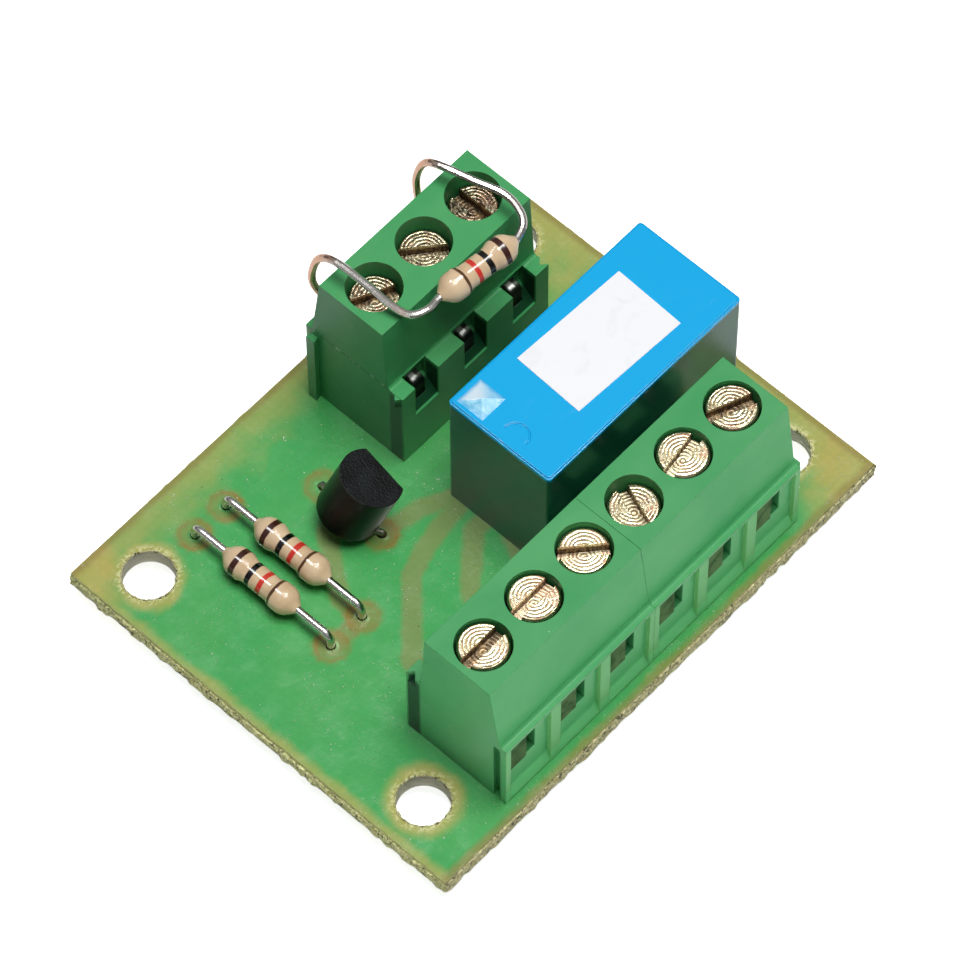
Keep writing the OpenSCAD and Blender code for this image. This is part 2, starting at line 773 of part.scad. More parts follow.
function over_input(p) =
    [input_pole(0)[0] + p[0], input_y - p[1], input_block_h + p[2]];
resistor_3_end_a = over_input(resistor_3_left);
resistor_3_dir = [cos(resistor_3_turn), sin(resistor_3_turn), 0];
resistor_3_mid = resistor_3_end_a + resistor_3_dir * resistor_3_step / 2;
resistor_3_end_b = resistor_3_end_a + resistor_3_dir * resistor_3_step;

module resistor_3_body() {
    color(resistor_tan) on_board() translate(resistor_3_mid)
        rotate(resistor_3_turn) resistor_shape();
}

// Points of a smooth curve through p1 and p2
function spline(p0, p1, p2, p3, t) =
    0.5 * (2 * p1 + (p2 - p0) * t + (2 * p0 - 5 * p1 + 4 * p2 - p3) * t * t
           + (3 * p1 - p0 - 3 * p2 + p3) * t * t * t);
function smooth_path(p, steps) = concat(
    [p[0]],
    [for (i = [1 : len(p) - 3], j = [0 : steps - 1])
        spline(p[i - 1], p[i], p[i + 1], p[i + 2], j / steps)],
    [p[len(p) - 2], p[len(p) - 1]]);
function unit(v) = v / norm(v);
function path_dir(p, i) =
    unit(p[min(i + 1, len(p) - 1)] - p[max(i - 1, 0)]);
// Side vectors carried along the path without twist
function side_at(p, i, side) =
    unit(side - path_dir(p, i) * (side * path_dir(p, i)));
function sides(p, i, side) =
    i == len(p) ? [] :
        let (s = side_at(p, i, side)) concat([s], sides(p, i + 1, s));

// Round wire swept along a path of points
module wire(path, d) {
    around = 10;
    frames = sides(path, 0, [0.31, 0.22, 0.93]);
    ring = [for (i = [0 : len(path) - 1], k = [0 : around - 1])
        let (u = frames[i], v = cross(path_dir(path, i), u), a = 360 * k / around)
            path[i] + d / 2 * (cos(a) * u + sin(a) * v)];
    last = (len(path) - 1) * around;
    polyhedron(
        points = ring,
        faces = concat(
            [[for (k = [around - 1 : -1 : 0]) k]],
            [[for (k = [0 : around - 1]) last + k]],
            [for (i = [0 : len(path) - 2], k = [0 : around - 1])
                let (a = i * around, n = (k + 1) % around)
                    [a + k, a + n, a + around + n, a + around + k]]));
}

// Centre of a clamped lead under its blade, and its wire entry
clamped_z = blade_z - run_gap - lead_d / 2;
entry_shift = pole_pitch / 2 - rib_w / 2 - entry_margin - entry_w / 2;
lead_in = screw_y + 1.4;

// Points of a lead from its clamp: x from the pole, y from the wire face
// towards the relay, z from the board
function clamp_points(pole) = [for (p = [
    [entry_shift, lead_in, clamped_z], [entry_shift, 2, clamped_z],
    [entry_shift, 0.2, clamped_z], [entry_shift, -0.1, clamped_z],
    [entry_shift - 0.1, -0.75, clamped_z + 0.4],
    [entry_shift - 0.3, -1, clamped_z + 1.5]])
    [pole[0] + p[0], pole[1] - p[1], p[2]]];
left_route = concat(
    clamp_points(input_pole(0)),
    [for (p = [[-0.9, -0.75, -4], [-1.15, -0.45, -1.6], [-1.25, 0.4, 0.9],
               [-1.15, 1.9, 1.9], [-0.95, 4.6, 1.65], [-0.75, 6.6, 1.05],
               [-0.3, 8.1, 0.75], [0.9, 8.75, 0.85]]) over_input(p)],
    [resistor_3_end_a - 0.25 * resistor_3_dir, resistor_3_end_a + 0.15 * resistor_3_dir]);
right_route = concat(
    clamp_points(input_pole(2)),
    [for (p = [[9.8, -0.75, -4], [9.6, -0.45, -1.6], [9.5, 0.4, 0.8],
               [9.65, 1.7, 1.7], [10.3, 4.4, 1.8], [10.85, 6.8, 1.95],
               [10.65, 8.4, 1.7], [10.1, 9.2, 1.35]]) over_input(p)],
    [resistor_3_end_b + 0.25 * resistor_3_dir, resistor_3_end_b - 0.15 * resistor_3_dir]);

module resistor_3_leads() {
    color(tin) on_board() {
        wire(smooth_path(left_route, 4), lead_d);
        wire(smooth_path(right_route, 4), lead_d);
    }
}

// Transistor: round towards the resistors, flat towards the relay
transistor_flat = 1.4;
transistor_lead_d = 0.5;
transistor_inner_pitch = 1.27;
// Foot of the body's axis, from the middle of its three holes
transistor_foot = [-0.84, -0.44, transistor_lift];

module transistor_frame() {
    on_board() translate([transistor[0], transistor[1], 0]) children();
}

module transistor_body() {
    color([0.07, 0.08, 0.09]) transistor_frame()
        translate(transistor_foot)
            rotate([transistor_lean_y, transistor_lean_x, 0]) difference() {
        cylinder(d = transistor_d, h = transistor_h);
        translate([transistor_flat, -transistor_d, -eps])
            cube([transistor_d, 2 * transistor_d, transistor_h + 2 * eps]);
        for (i = [-1 : 1]) translate([0, i * transistor_inner_pitch, -eps])
            cylinder(d = transistor_lead_d, h = 0.5 + eps);
    }
}

// A place in the leaning body, side and height from the foot of its axis
function leaning(side, z) =
    let (a = transistor_lean_y, b = transistor_lean_x, up = side * sin(a) + z * cos(a))
        transistor_foot + [up * sin(b), side * cos(a) - z * sin(a), up * cos(b)];

// Way of one lead, from inside the body through the board
function transistor_route(i) =
    let (side = i * transistor_inner_pitch, y = i * transistor_pitch)
        [leaning(side, 0.5), leaning(side, -0.2), [0, y, 0.25], [0, y, -0.1],
         [0, y, -board_t - lead_drop]];

module transistor_leads() {
    color(tin) transistor_frame()
        for (i = [-1 : 1]) wire(transistor_route(i), transistor_lead_d);
}

diode_z = diode_d / 2 + 0.2;

module diode_frame() {
    on_board() translate([diode[0], diode[1], 0]) children();
}

module diode_body() {
    color([0.10, 0.10, 0.11]) diode_frame() translate([-diode_l / 2, 0, diode_z])
        rotate([0, 90, 0]) difference() {
            rotate_extrude() polygon([
                [0, 0], [diode_d / 2 - 0.2, 0], [diode_d / 2, 0.2],
                [diode_d / 2, diode_l - 0.2], [diode_d / 2 - 0.2, diode_l], [0, diode_l]
            ]);
            for (z = [-0.5, diode_l - 0.5])
                translate([0, 0, z]) cylinder(d = lead_d, h = 1);
        }
}

module diode_leads() {
    color(tin) diode_frame() for (m = [0, 1]) mirror([m, 0, 0])
        formed_lead(diode_l / 2 - 0.5, diode_span / 2, diode_z);
}

// ---- Selection of the parts ----

circuit_board();
copper_tracks();
solder_joints();
output_housing_left();
output_housing_right();
input_housing();
output_contact(0);  // output_contact_1
output_contact(1);  // output_contact_2
output_contact(2);  // output_contact_3
output_contact(3);  // output_contact_4
output_contact(4);  // output_contact_5
output_contact(5);  // output_contact_6
input_contact(0);  // input_contact_1
input_contact(1);  // input_contact_2
input_contact(2);  // input_contact_3
output_cage(0);  // output_cage_1
output_cage(1);  // output_cage_2
output_cage(2);  // output_cage_3
output_cage(3);  // output_cage_4
output_cage(4);  // output_cage_5
output_cage(5);  // output_cage_6
input_cage(0);  // input_cage_1
input_cage(1);  // input_cage_2
input_cage(2);  // input_cage_3
output_screw(0);  // output_screw_1
output_screw(1);  // output_screw_2
output_screw(2);  // output_screw_3
output_screw(3);  // output_screw_4
output_screw(4);  // output_screw_5
output_screw(5);  // output_screw_6
input_screw(0);  // input_screw_1
input_screw(1);  // input_screw_2
input_screw(2);  // input_screw_3
relay_case();
relay_base();
relay_pins();
relay_label();
transistor_body();
transistor_leads();
resistor_1_body();
resistor_1_leads();
resistor_2_body();
resistor_2_leads();
resistor_3_body();
resistor_3_leads();
diode_body();
diode_leads();
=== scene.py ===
"""Looks of a small relay module board: finishes, extra detail, light and camera."""

import json
import logging
import math
from collections.abc import Callable, Iterable
from dataclasses import dataclass
from enum import Enum
from functools import reduce

import bpy
from mathutils import Matrix, Vector


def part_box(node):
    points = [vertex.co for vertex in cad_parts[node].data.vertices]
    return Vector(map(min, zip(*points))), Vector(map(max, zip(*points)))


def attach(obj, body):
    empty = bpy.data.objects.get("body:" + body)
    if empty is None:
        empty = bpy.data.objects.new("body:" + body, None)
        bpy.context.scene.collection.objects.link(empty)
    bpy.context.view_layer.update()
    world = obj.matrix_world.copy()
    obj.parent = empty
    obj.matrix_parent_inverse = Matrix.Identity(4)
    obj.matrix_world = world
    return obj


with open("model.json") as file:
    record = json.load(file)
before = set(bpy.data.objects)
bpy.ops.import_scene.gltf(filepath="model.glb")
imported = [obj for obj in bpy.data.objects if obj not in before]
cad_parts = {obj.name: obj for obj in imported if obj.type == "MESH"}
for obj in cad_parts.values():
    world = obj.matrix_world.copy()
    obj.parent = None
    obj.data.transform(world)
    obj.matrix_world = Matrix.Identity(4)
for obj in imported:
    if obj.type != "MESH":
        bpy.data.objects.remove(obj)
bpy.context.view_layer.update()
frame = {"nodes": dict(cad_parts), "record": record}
LOG = logging.getLogger("relay_module")
MM = 0.001
Number = float | int
Colour = tuple[float, float, float]
Point = tuple[float, float, float]
Place = tuple[float, float]


class Band(Enum):
    """The painted colours of a resistor's bands."""

    BROWN = (0.045, 0.012, 0.008)
    BLACK = (0.001, 0.001, 0.001)
    RED = (0.62, 0.035, 0.025)
    GOLD = (0.10, 0.045, 0.018)


class LampKind(Enum):
    """What a lamp stands for."""

    SOFT = "a soft box above the board"
    TABLE = "a lit table beside the board, seen by no gloss"
    GLINT = "a small box that shows in gloss only"


# ---------------------------------------------------------------- shader maths


class Signal:
    """One shader value, a node's output, with arithmetic that adds Math nodes."""

    def __init__(self, graph: "Nodes", socket: bpy.types.NodeSocket) -> None:
        """Wraps an output socket.

        Args:
            graph: The tree that the output is in.
            socket: The output that carries the value.
        """
        self.graph = graph
        self.socket = socket

    def _math(self, operation: str, *values: "Signal | Number") -> "Signal":
        """Adds one Math node and returns its result."""
        return self.graph.add("ShaderNodeMath", {"operation": operation}, *values)

    def __add__(self, other: "Signal | Number") -> "Signal":
        """Adds."""
        return self._math("ADD", self, other)

    __radd__ = __add__

    def __sub__(self, other: "Signal | Number") -> "Signal":
        """Subtracts."""
        return self._math("SUBTRACT", self, other)

    def __rsub__(self, other: Number) -> "Signal":
        """Subtracts from a number."""
        return self._math("SUBTRACT", other, self)

    def __mul__(self, other: "Signal | Number") -> "Signal":
        """Multiplies."""
        return self._math("MULTIPLY", self, other)

    __rmul__ = __mul__

    def __truediv__(self, other: "Signal | Number") -> "Signal":
        """Divides."""
        return self._math("DIVIDE", self, other)

    def __abs__(self) -> "Signal":
        """Absolute value."""
        return self._math("ABSOLUTE", self)

    def __pow__(self, other: Number) -> "Signal":
        """Power."""
        return self._math("POWER", self, other)

    def low(self, other: "Signal | Number") -> "Signal":
        """The lower of two values."""
        return self._math("MINIMUM", self, other)

    def high(self, other: "Signal | Number") -> "Signal":
        """The higher of two values."""
        return self._math("MAXIMUM", self, other)

    def clamp(self) -> "Signal":
        """The value held between 0 and 1."""
        return self.high(0.0).low(1.0)

    def ramp(self, start: Number, end: Number) -> "Signal":
        """Rises smoothly from 0 at start to 1 at end; start may be the higher.

        Args:
            start: The value that gives 0.
            end: The value that gives 1.

        Returns:
            A value from 0 to 1.
        """
        t = ((self - start) / (end - start)).clamp()
        return t * t * (3.0 - 2.0 * t)

    def wave(self, period: Number) -> "Signal":
        """A sine from 0 to 1 that repeats every period."""
        return self._math("SINE", self * (2 * math.pi / period)) * 0.5 + 0.5


Value = Signal | Number
Paint = Colour | bpy.types.NodeSocket


def highest(parts: Iterable[Signal]) -> Signal:
    """The highest of several values."""
    return reduce(Signal.high, parts)


class Nodes:
    """A node tree and the one method that adds its nodes."""

    def __init__(self, tree: bpy.types.NodeTree) -> None:
        """Empties a tree.

        Args:
            tree: The tree of a material or of the world.
        """
        self.tree = tree
        tree.nodes.clear()

    def plug(self, socket: bpy.types.NodeSocket, value: Value | Paint | None) -> None:
        """Links or sets one input.

        Args:
            socket: The input.
            value: A value, an output, a number or a colour. None leaves the input alone.
        """
        if isinstance(value, Signal):
            value = value.socket
        if isinstance(value, bpy.types.NodeSocket):
            self.tree.links.new(value, socket)
        elif value is not None:
            socket.default_value = (*value, 1.0) if socket.type == "RGBA" else value

    def node(self, kind: str, settings: dict, *values, **named) -> bpy.types.Node:
        """Adds one node.

        Args:
            kind: The node's type.
            settings: Its settings, which are set first.
            *values: Values or links of its inputs, in their order.
            **named: Values or links of its inputs, by name.

        Returns:
            The node.
        """
        made = self.tree.nodes.new(kind)
        for key, value in settings.items():
            setattr(made, key, value)
        for socket, value in zip(made.inputs, values):
            self.plug(socket, value)
        for key, value in named.items():
            self.plug(made.inputs[key.replace("_", " ")], value)
        return made

    def add(self, kind: str, settings: dict, *values, **named) -> Signal:
        """Adds one node and returns its first output as a value."""
        return Signal(self, self.node(kind, settings, *values, **named).outputs[0])

    def rays(self) -> list[Signal]:
        """Tells where a ray comes from.

        Returns:
            Three values, 1 for a ray from the camera, from gloss and through glass.
        """
        path = self.node("ShaderNodeLightPath", {})
        kinds = ("Is Camera Ray", "Is Glossy Ray", "Is Transmission Ray")
        return [Signal(self, path.outputs[kind]) for kind in kinds]


class Graph(Nodes):
    """The nodes of one material, reading Object coordinates in millimetres."""

    def __init__(self, name: str) -> None:
        """Makes an empty node material.

        Args:
            name: The material's name.
        """
        self.material = bpy.data.materials.new(name)
        self.material.use_nodes = True
        super().__init__(self.material.node_tree)
        place = self.node("ShaderNodeTexCoord", {}).outputs["Object"]
        scaled = self.node("ShaderNodeVectorMath", {"operation": "SCALE"}, place, Scale=1 / MM)
        self.place = scaled.outputs[0]
        split = self.node("ShaderNodeSeparateXYZ", {}, self.place)
        self.x, self.y, self.z = (Signal(self, s) for s in split.outputs)
        geometry = self.node("ShaderNodeNewGeometry", {})
        turned = self.node(
            "ShaderNodeVectorTransform",
            {"vector_type": "NORMAL", "convert_from": "WORLD", "convert_to": "OBJECT"},
            geometry.outputs["True Normal"],
        )
        facing = self.node("ShaderNodeSeparateXYZ", {}, turned.outputs[0])
        self.nx, self.ny, self.nz = (Signal(self, s) for s in facing.outputs)

    def noise(
        self, size: Number, detail: Number = 3.0, distortion: Number = 0.0,
        stretch: Colour | None = None, rough: Number = 0.5,
    ) -> Signal:
        """Noise from about 0.25 to 0.75.

        Args:
            size: The size of its blots in millimetres.
            detail: Its number of finer layers.
            distortion: How far it is stirred.
            stretch: Factors that stretch it along X, Y and Z.
            rough: How strong the finer layers are.

        Returns:
            The noise.
        """
        place = self.place
        if stretch:
            place = self.node(
                "ShaderNodeVectorMath", {"operation": "DIVIDE"}, place, stretch
            ).outputs[0]
        return self.add(
            "ShaderNodeTexNoise", {}, Vector=place, Scale=1 / size, Detail=detail,
            Roughness=rough, Distortion=distortion,
        )

    def specks(self, size: Number, radius: Number, chance: Number) -> Signal:
        """Small round specks, 1 inside.

        Args:
            size: The cell that holds at most one speck, in millimetres.
            radius: The speck's radius as a share of the cell.
            chance: The share of cells that hold one.

        Returns:
            A mask.
        """
        cell = self.node(
            "ShaderNodeTexVoronoi", {"feature": "F1"}, Vector=self.place, Scale=1 / size
        )
        near = Signal(self, cell.outputs["Distance"]).ramp(radius, radius * 0.6)
        parts = self.node("ShaderNodeSeparateColor", {}, cell.outputs["Color"])
        return near * Signal(self, parts.outputs[0]).ramp(chance, chance - 0.01)

    def mix(
        self, share: Value, a: Paint, b: Paint, blend: str = "MIX"
    ) -> bpy.types.NodeSocket:
        """Mixes two colours.

        Args:
            share: 0 for a, 1 for b.
            a: A colour or a colour output.
            b: A colour or a colour output.
            blend: How b is laid over a.

        Returns:
            The colour output.
        """
        made = self.node("ShaderNodeMix", {"data_type": "RGBA", "blend_type": blend})
        for index, value in ((0, share), (6, a), (7, b)):
            self.plug(made.inputs[index], value)
        return made.outputs[2]

    def shade(self, colour: Paint, share: Value) -> bpy.types.NodeSocket:
        """Multiplies a colour by a value."""
        grey = self.node("ShaderNodeCombineColor", {}, share, share, share).outputs[0]
        return self.mix(1.0, colour, grey, "MULTIPLY")

    def disc(self, x: Number, y: Number, radius: Number, soft: Number) -> Signal:
        """1 inside an upright cylinder through x and y, with a soft edge."""
        return self.range_to(x, y).ramp(radius + soft / 2, radius - soft / 2)

    def range_to(self, x: Number, y: Number) -> Signal:
        """Distance from the upright line through x and y."""
        dx, dy = self.x - x, self.y - y
        return (dx * dx + dy * dy) ** 0.5

    def strip(self, a: Place, b: Place, blur: Value = 0.0) -> Signal:
        """Distance in plan from the straight line between two points.

        Args:
            a: The first point.
            b: The second point.
            blur: Added to the distance.

        Returns:
            The distance in millimetres.
        """
        way = (b[0] - a[0], b[1] - a[1])
        size = math.hypot(*way)
        ux, uy = way[0] / size, way[1] / size
        px, py = self.x - a[0], self.y - a[1]
        along = px * ux + py * uy
        over = along - along.high(0.0).low(size)
        side = py * ux - px * uy
        return (over * over + side * side) ** 0.5 + blur

    def finish(
        self, colour: Paint, roughness: Value, metallic: Value = 0.0,
        height: Signal | None = None, edge: Number = 0.0, coat: Number = 0.0,
        coat_roughness: Number = 0.05, specular: Number = 0.5,
    ) -> bpy.types.Material:
        """Ends the graph with its surface.

        Args:
            colour: A colour or a colour output.
            roughness: A value or a number.
            metallic: A value or a number.
            height: The relief in millimetres.
            edge: The radius of rounded edges in millimetres.
            coat: The weight of a clear coat.
            coat_roughness: Its roughness.
            specular: The level of the plain gloss.

        Returns:
            The material.
        """
        normal = None
        if edge:
            normal = self.node("ShaderNodeBevel", {"samples": 6}, edge * MM).outputs[0]
        if height is not None:
            bump = self.node("ShaderNodeBump", {}, Strength=1.0, Distance=MM, Height=height)
            if normal is not None:
                self.tree.links.new(normal, bump.inputs["Normal"])
            normal = bump.outputs[0]
        surface = self.node(
            "ShaderNodeBsdfPrincipled", {}, Base_Color=colour, Roughness=roughness,
            Metallic=metallic, Normal=normal, Coat_Weight=coat,
            Coat_Roughness=coat_roughness, Specular_IOR_Level=specular,
        )
        self.node("ShaderNodeOutputMaterial", {}, surface.outputs[0])
        return self.material


# -------------------------------------------------------------------- finishes


@dataclass(frozen=True)
class MouldedGreen:
    """Green polyamide of the terminal housings."""

    wire_face: float
    ledge: float
    end: float
    end_line: float = 0.0
    recess: float = 0.36
    foot: float = 6.25
    notch: float = 8.05
    rear: float = 9.165
    edge: float = 0.08
    body: Colour = (0.050, 0.325, 0.105)
    pale: Colour = (0.100, 0.395, 0.145)
    olive: Colour = (0.170, 0.390, 0.105)
    panel: Colour = (0.085, 0.44, 0.15)
    foot_green: Colour = (0.12, 0.52, 0.18)
    # painted light on the ribs' sides, then painted shade in the rear notches and on the input
    # block's end
    worn: Colour = (0.26, 0.66, 0.24)
    sooty: Colour = (0.003, 0.030, 0.012)
    grimy: Colour = (0.008, 0.100, 0.040)
    seam: Colour = (0.006, 0.06, 0.02)
    # partly wear, partly painted highlight along the end face's crease
    fleck: Colour = (0.60, 0.75, 0.62)
    dust: Colour = (0.55, 0.72, 0.5)

    def material(self, name: str) -> bpy.types.Material:
        """Makes the finish.

        Args:
            name: The material's name.

        Returns:
            A satin plastic with faint clouds, flow marks, dust, painted shade and painted light.
        """
        g = Graph(name)
        cloud = g.noise(9.0, 3.0, 0.4).ramp(0.3, 0.72)
        flow = g.noise(2.6, 4.0, 0.8, stretch=(3.0, 1.0, 1.0)).ramp(0.35, 0.7)
        colour = g.mix(cloud * 0.45 + flow * 0.2, self.body, self.pale)
        deep = abs(g.y - self.wire_face)
        above = g.z - self.ledge
        below = above.ramp(-0.3, -0.7)
        outward = g.nx * -1.0
        colour = g.mix(deep.ramp(0.12, 0.05) * below * 0.75, colour, self.olive)
        recess = deep.ramp(self.recess + 0.02, self.recess - 0.02) * below
        colour = g.mix(recess * 0.6, colour, self.panel)
        foot = above.ramp(0.15 - self.foot, -0.15 - self.foot) * deep.ramp(0.6, 0.4)
        colour = g.mix(foot * 0.8, colour, self.foot_green)
        # painted light: faces that look along -X beside the recessed panels, the ribs' sides,
        # are drawn light green
        worn = recess * outward.ramp(0.6, 0.9) * (g.x - self.end).ramp(0.1, 0.2)
        colour = g.mix(worn * 0.8, colour, self.worn)
        # painted shade: the rear notches below the ledge are drawn near black
        notch = deep.ramp(self.notch - 0.15, self.notch + 0.15)
        notch = notch * deep.ramp(self.rear + 0.025, self.rear - 0.025) * above.ramp(-0.1, -0.6)
        colour = g.mix(notch * 0.93, colour, self.sooty)
        if self.end_line:
            side = outward.ramp(0.5, 0.8)
            # painted shade: the end face that looks along -X is darkened near the block's end
            end_shade_share = side * (g.x - self.end).ramp(1.2, 0.8)
            colour = g.mix(end_shade_share * 0.45, colour, self.grimy)
            line = abs(above).ramp(0.10, 0.03) * side * self.end_line
            colour = g.mix(line, colour, self.seam)
            # partly wear, partly painted highlight: pale flecks along the crease on the end face
            flecks = g.noise(0.35, 3.0, 0.5).ramp(0.56, 0.62)
            colour = g.mix(line * flecks, colour, self.fleck)
        colour = g.mix(g.specks(1.3, 0.055, 0.22) * 0.5, colour, self.dust)
        relief = g.noise(0.12, 2.0) * 0.010 + g.noise(1.6, 2.0) * 0.02
        roughness = g.noise(3.0, 4.0) * 0.18 + 0.26
        return g.finish(colour, roughness, height=relief, edge=self.edge, specular=0.16)


@dataclass(frozen=True)
class Laminate:
    """Glass-fibre laminate: green resist seen through from below, tan at its edges."""

    size: Place
    holes: tuple[Place, ...]
    pads: tuple[Place, ...]
    tracks: tuple[tuple[Place, ...], ...]
    hole_radius: float = 1.95
    pad_ring: float = 1.12
    pad_hole: float = 0.5
    green: Colour = (0.055, 0.385, 0.100)
    tan: Colour = (0.50, 0.41, 0.110)
    olive: Colour = (0.14, 0.44, 0.12)
    brown: Colour = (0.26, 0.17, 0.045)
    band: Colour = (0.30, 0.24, 0.085)
    ring: Colour = (0.27, 0.205, 0.045)
    burr: Colour = (0.45, 0.72, 0.40)
    chip: Colour = (0.78, 0.78, 0.42)
    pit: Colour = (0.03, 0.12, 0.03)
    glint: Colour = (0.85, 0.92, 0.75)
    resin: Colour = (0.36, 0.34, 0.13)
    glass: Colour = (0.86, 0.82, 0.46)
    # painted light on the sawn sides that face -X
    fresh: Colour = (0.86, 0.92, 0.36)
    # the holes' walls: partly pale fibre, partly painted light
    bore: Colour = (0.97, 0.94, 0.78)

    def material(self, name: str) -> bpy.types.Material:
        """Makes the finish.

        Args:
            name: The material's name.

        Returns:
            A glossy, mottled laminate with its foil showing as brownish bands.
        """
        g = Graph(name)
        half_x, half_y = self.size[0] / 2, self.size[1] / 2
        stir = g.noise(3.2, 4.0, 0.6) - 0.5
        fine = g.noise(0.5, 4.0, 0.3) - 0.5
        weave = (g.x.wave(0.62) * g.y.wave(0.62) * 0.3 + fine + 0.4).clamp()
        colour = g.mix(self.margins(g, stir) * (0.86 + weave * 0.14), self.green, self.tan)
        cloud = g.noise(6.5, 3.0, 0.5).ramp(0.3, 0.7)
        colour = g.mix(cloud * 0.22, colour, self.olive)
        near_edge = (g.y + half_y).low(half_x - g.x).low(half_y - g.y) + stir * 0.5
        colour = g.mix(near_edge.ramp(0.75, 0.15) * 0.55, colour, self.brown)
        colour = self.foil(g, colour, stir, fine)
        colour = g.shade(colour, weave * 0.10 + 0.95)
        up = g.nz.ramp(0.4, 0.7)
        rim = self.hole_radius
        rims = (g.range_to(*hole).ramp(rim + 0.75, rim) for hole in self.holes)
        chips = highest(rims) * g.noise(0.42, 3.0, 1.2).ramp(0.46, 0.60)
        colour = g.mix(chips * up * 0.75, colour, self.chip)
        curls = g.noise(0.22, 2.0, 2.2).ramp(0.675, 0.705) * g.noise(3.0, 2.0).ramp(0.44, 0.54)
        glints = g.specks(0.9, 0.06, 0.22).high(curls) * up
        pits = g.specks(0.7, 0.09, 0.14) * up
        colour = g.mix(pits * 0.55, colour, self.pit)
        colour = g.mix(glints * 0.85, colour, self.glint)
        # sawn sides and bores show the layers of fibre
        layers = g.noise(0.5, 4.0, 0.6, stretch=(2.0, 2.0, 0.22)).ramp(0.35, 0.68)
        side = (1.0 - abs(g.nz)).ramp(0.4, 0.8)
        sawn = g.mix(layers, self.resin, self.glass)
        # painted light: sawn sides that face -X are drawn lighter and greener
        sawn = g.mix((g.nx * -1.0).ramp(0.5, 0.9) * 0.6, sawn, self.fresh)
        # partly pale fibre, partly painted light: the mounting holes' walls are drawn near white
        bores = highest(g.disc(x, y, 2.6, 0.1) for x, y in self.holes)
        colour = g.mix(side, colour, g.mix(bores * 0.8, sawn, self.bore))
        relief = g.noise(1.1, 3.0) * 0.03 + fine * 0.02 + layers * side * 0.14
        relief = relief + glints * 0.03 - pits * 0.03
        roughness = side * 0.45 + g.noise(1.7, 4.0).ramp(0.3, 0.75) * 0.14 + 0.16
        return g.finish(colour, roughness, height=relief, specular=0.4)

    def margins(self, g: Graph, stir: Signal) -> Signal:
        """Where the laminate is tan: along its sides, at two corners and round its holes.

        Args:
            g: The material's graph.
            stir: Noise that moves the margins in and out.

        Returns:
            The share of tan.
        """
        half_x, half_y = self.size[0] / 2, self.size[1] / 2
        parts = [
            (g.x + half_x + stir * 1.6).ramp(1.0, 0.1) * 0.7,
            (half_x - g.x + stir * 9.0).ramp(7.5, 0.8) * 0.85,
            (g.y + half_y + stir * 2.0).ramp(0.6, 0.0) * 0.35,
            (half_y - g.y + stir * 5.0).ramp(4.2, 0.4) * 0.65,
            (g.range_to(-half_x, half_y) + stir * 4.0).ramp(6.5, 2.0),
            (g.range_to(half_x, -half_y) + stir * 5.0).ramp(7.0, 3.0),
        ]
        parts += [(g.range_to(*hole) + stir * 1.5).ramp(3.3, 2.2) * 0.9 for hole in self.holes]
        return highest(parts)

    def foil(
        self, g: Graph, colour: Paint, stir: Signal, fine: Signal
    ) -> bpy.types.NodeSocket:
        """Lays the foil's bands, the pads' rings and the holes' burrs over a colour.

        Args:
            g: The material's graph.
            colour: The laminate's colour.
            stir: Coarse noise.
            fine: Fine noise.

        Returns:
            The new colour.
        """
        wander = stir * 0.5 + fine * 0.35
        legs = [leg for way in self.tracks for leg in zip(way, way[1:])]
        bands = highest(g.strip(a, b, wander).ramp(1.0, 0.45) for a, b in legs)
        colour = g.mix(bands * 0.55, colour, self.band)
        rings = []
        for pad in self.pads:
            away = g.range_to(*pad) + fine * 0.6 + stir * 0.5
            halo = away.ramp(1.75, 1.05) * away.ramp(0.30, 0.70) * 0.52
            rings.append(halo + abs(away - self.pad_ring).ramp(0.34, 0.02) * 0.26)
        ring = (highest(rings) * (stir * 2.4 + 1.0)).clamp()
        colour = g.mix(ring, colour, self.ring)
        lips = (abs(g.range_to(*pad) + fine * 0.1 - self.pad_hole) for pad in self.pads)
        burr = highest(lip.ramp(0.14, 0.03) for lip in lips)
        return g.mix(burr * g.noise(0.8, 2.0).ramp(0.42, 0.6) * 0.5, colour, self.burr)


@dataclass(frozen=True)
class TornFibre:
    """Torn glass fibres and resin along sawn and drilled edges."""

    resin: Colour = (0.38, 0.35, 0.13)
    glass: Colour = (0.82, 0.77, 0.42)
    pit: Colour = (0.05, 0.06, 0.02)

    def material(self, name: str) -> bpy.types.Material:
        """Makes the finish.

        Args:
            name: The material's name.

        Returns:
            A rough, speckled surface.
        """
        g = Graph(name)
        tuft = g.noise(0.26, 4.0, 0.8).ramp(0.35, 0.65)
        pit = g.noise(0.24, 3.0, 0.5).ramp(0.56, 0.66)
        colour = g.mix(tuft, self.resin, self.glass)
        colour = g.mix(pit * 0.95, colour, self.pit)
        return g.finish(colour, 0.6, height=tuft * 0.08 - pit * 0.1)


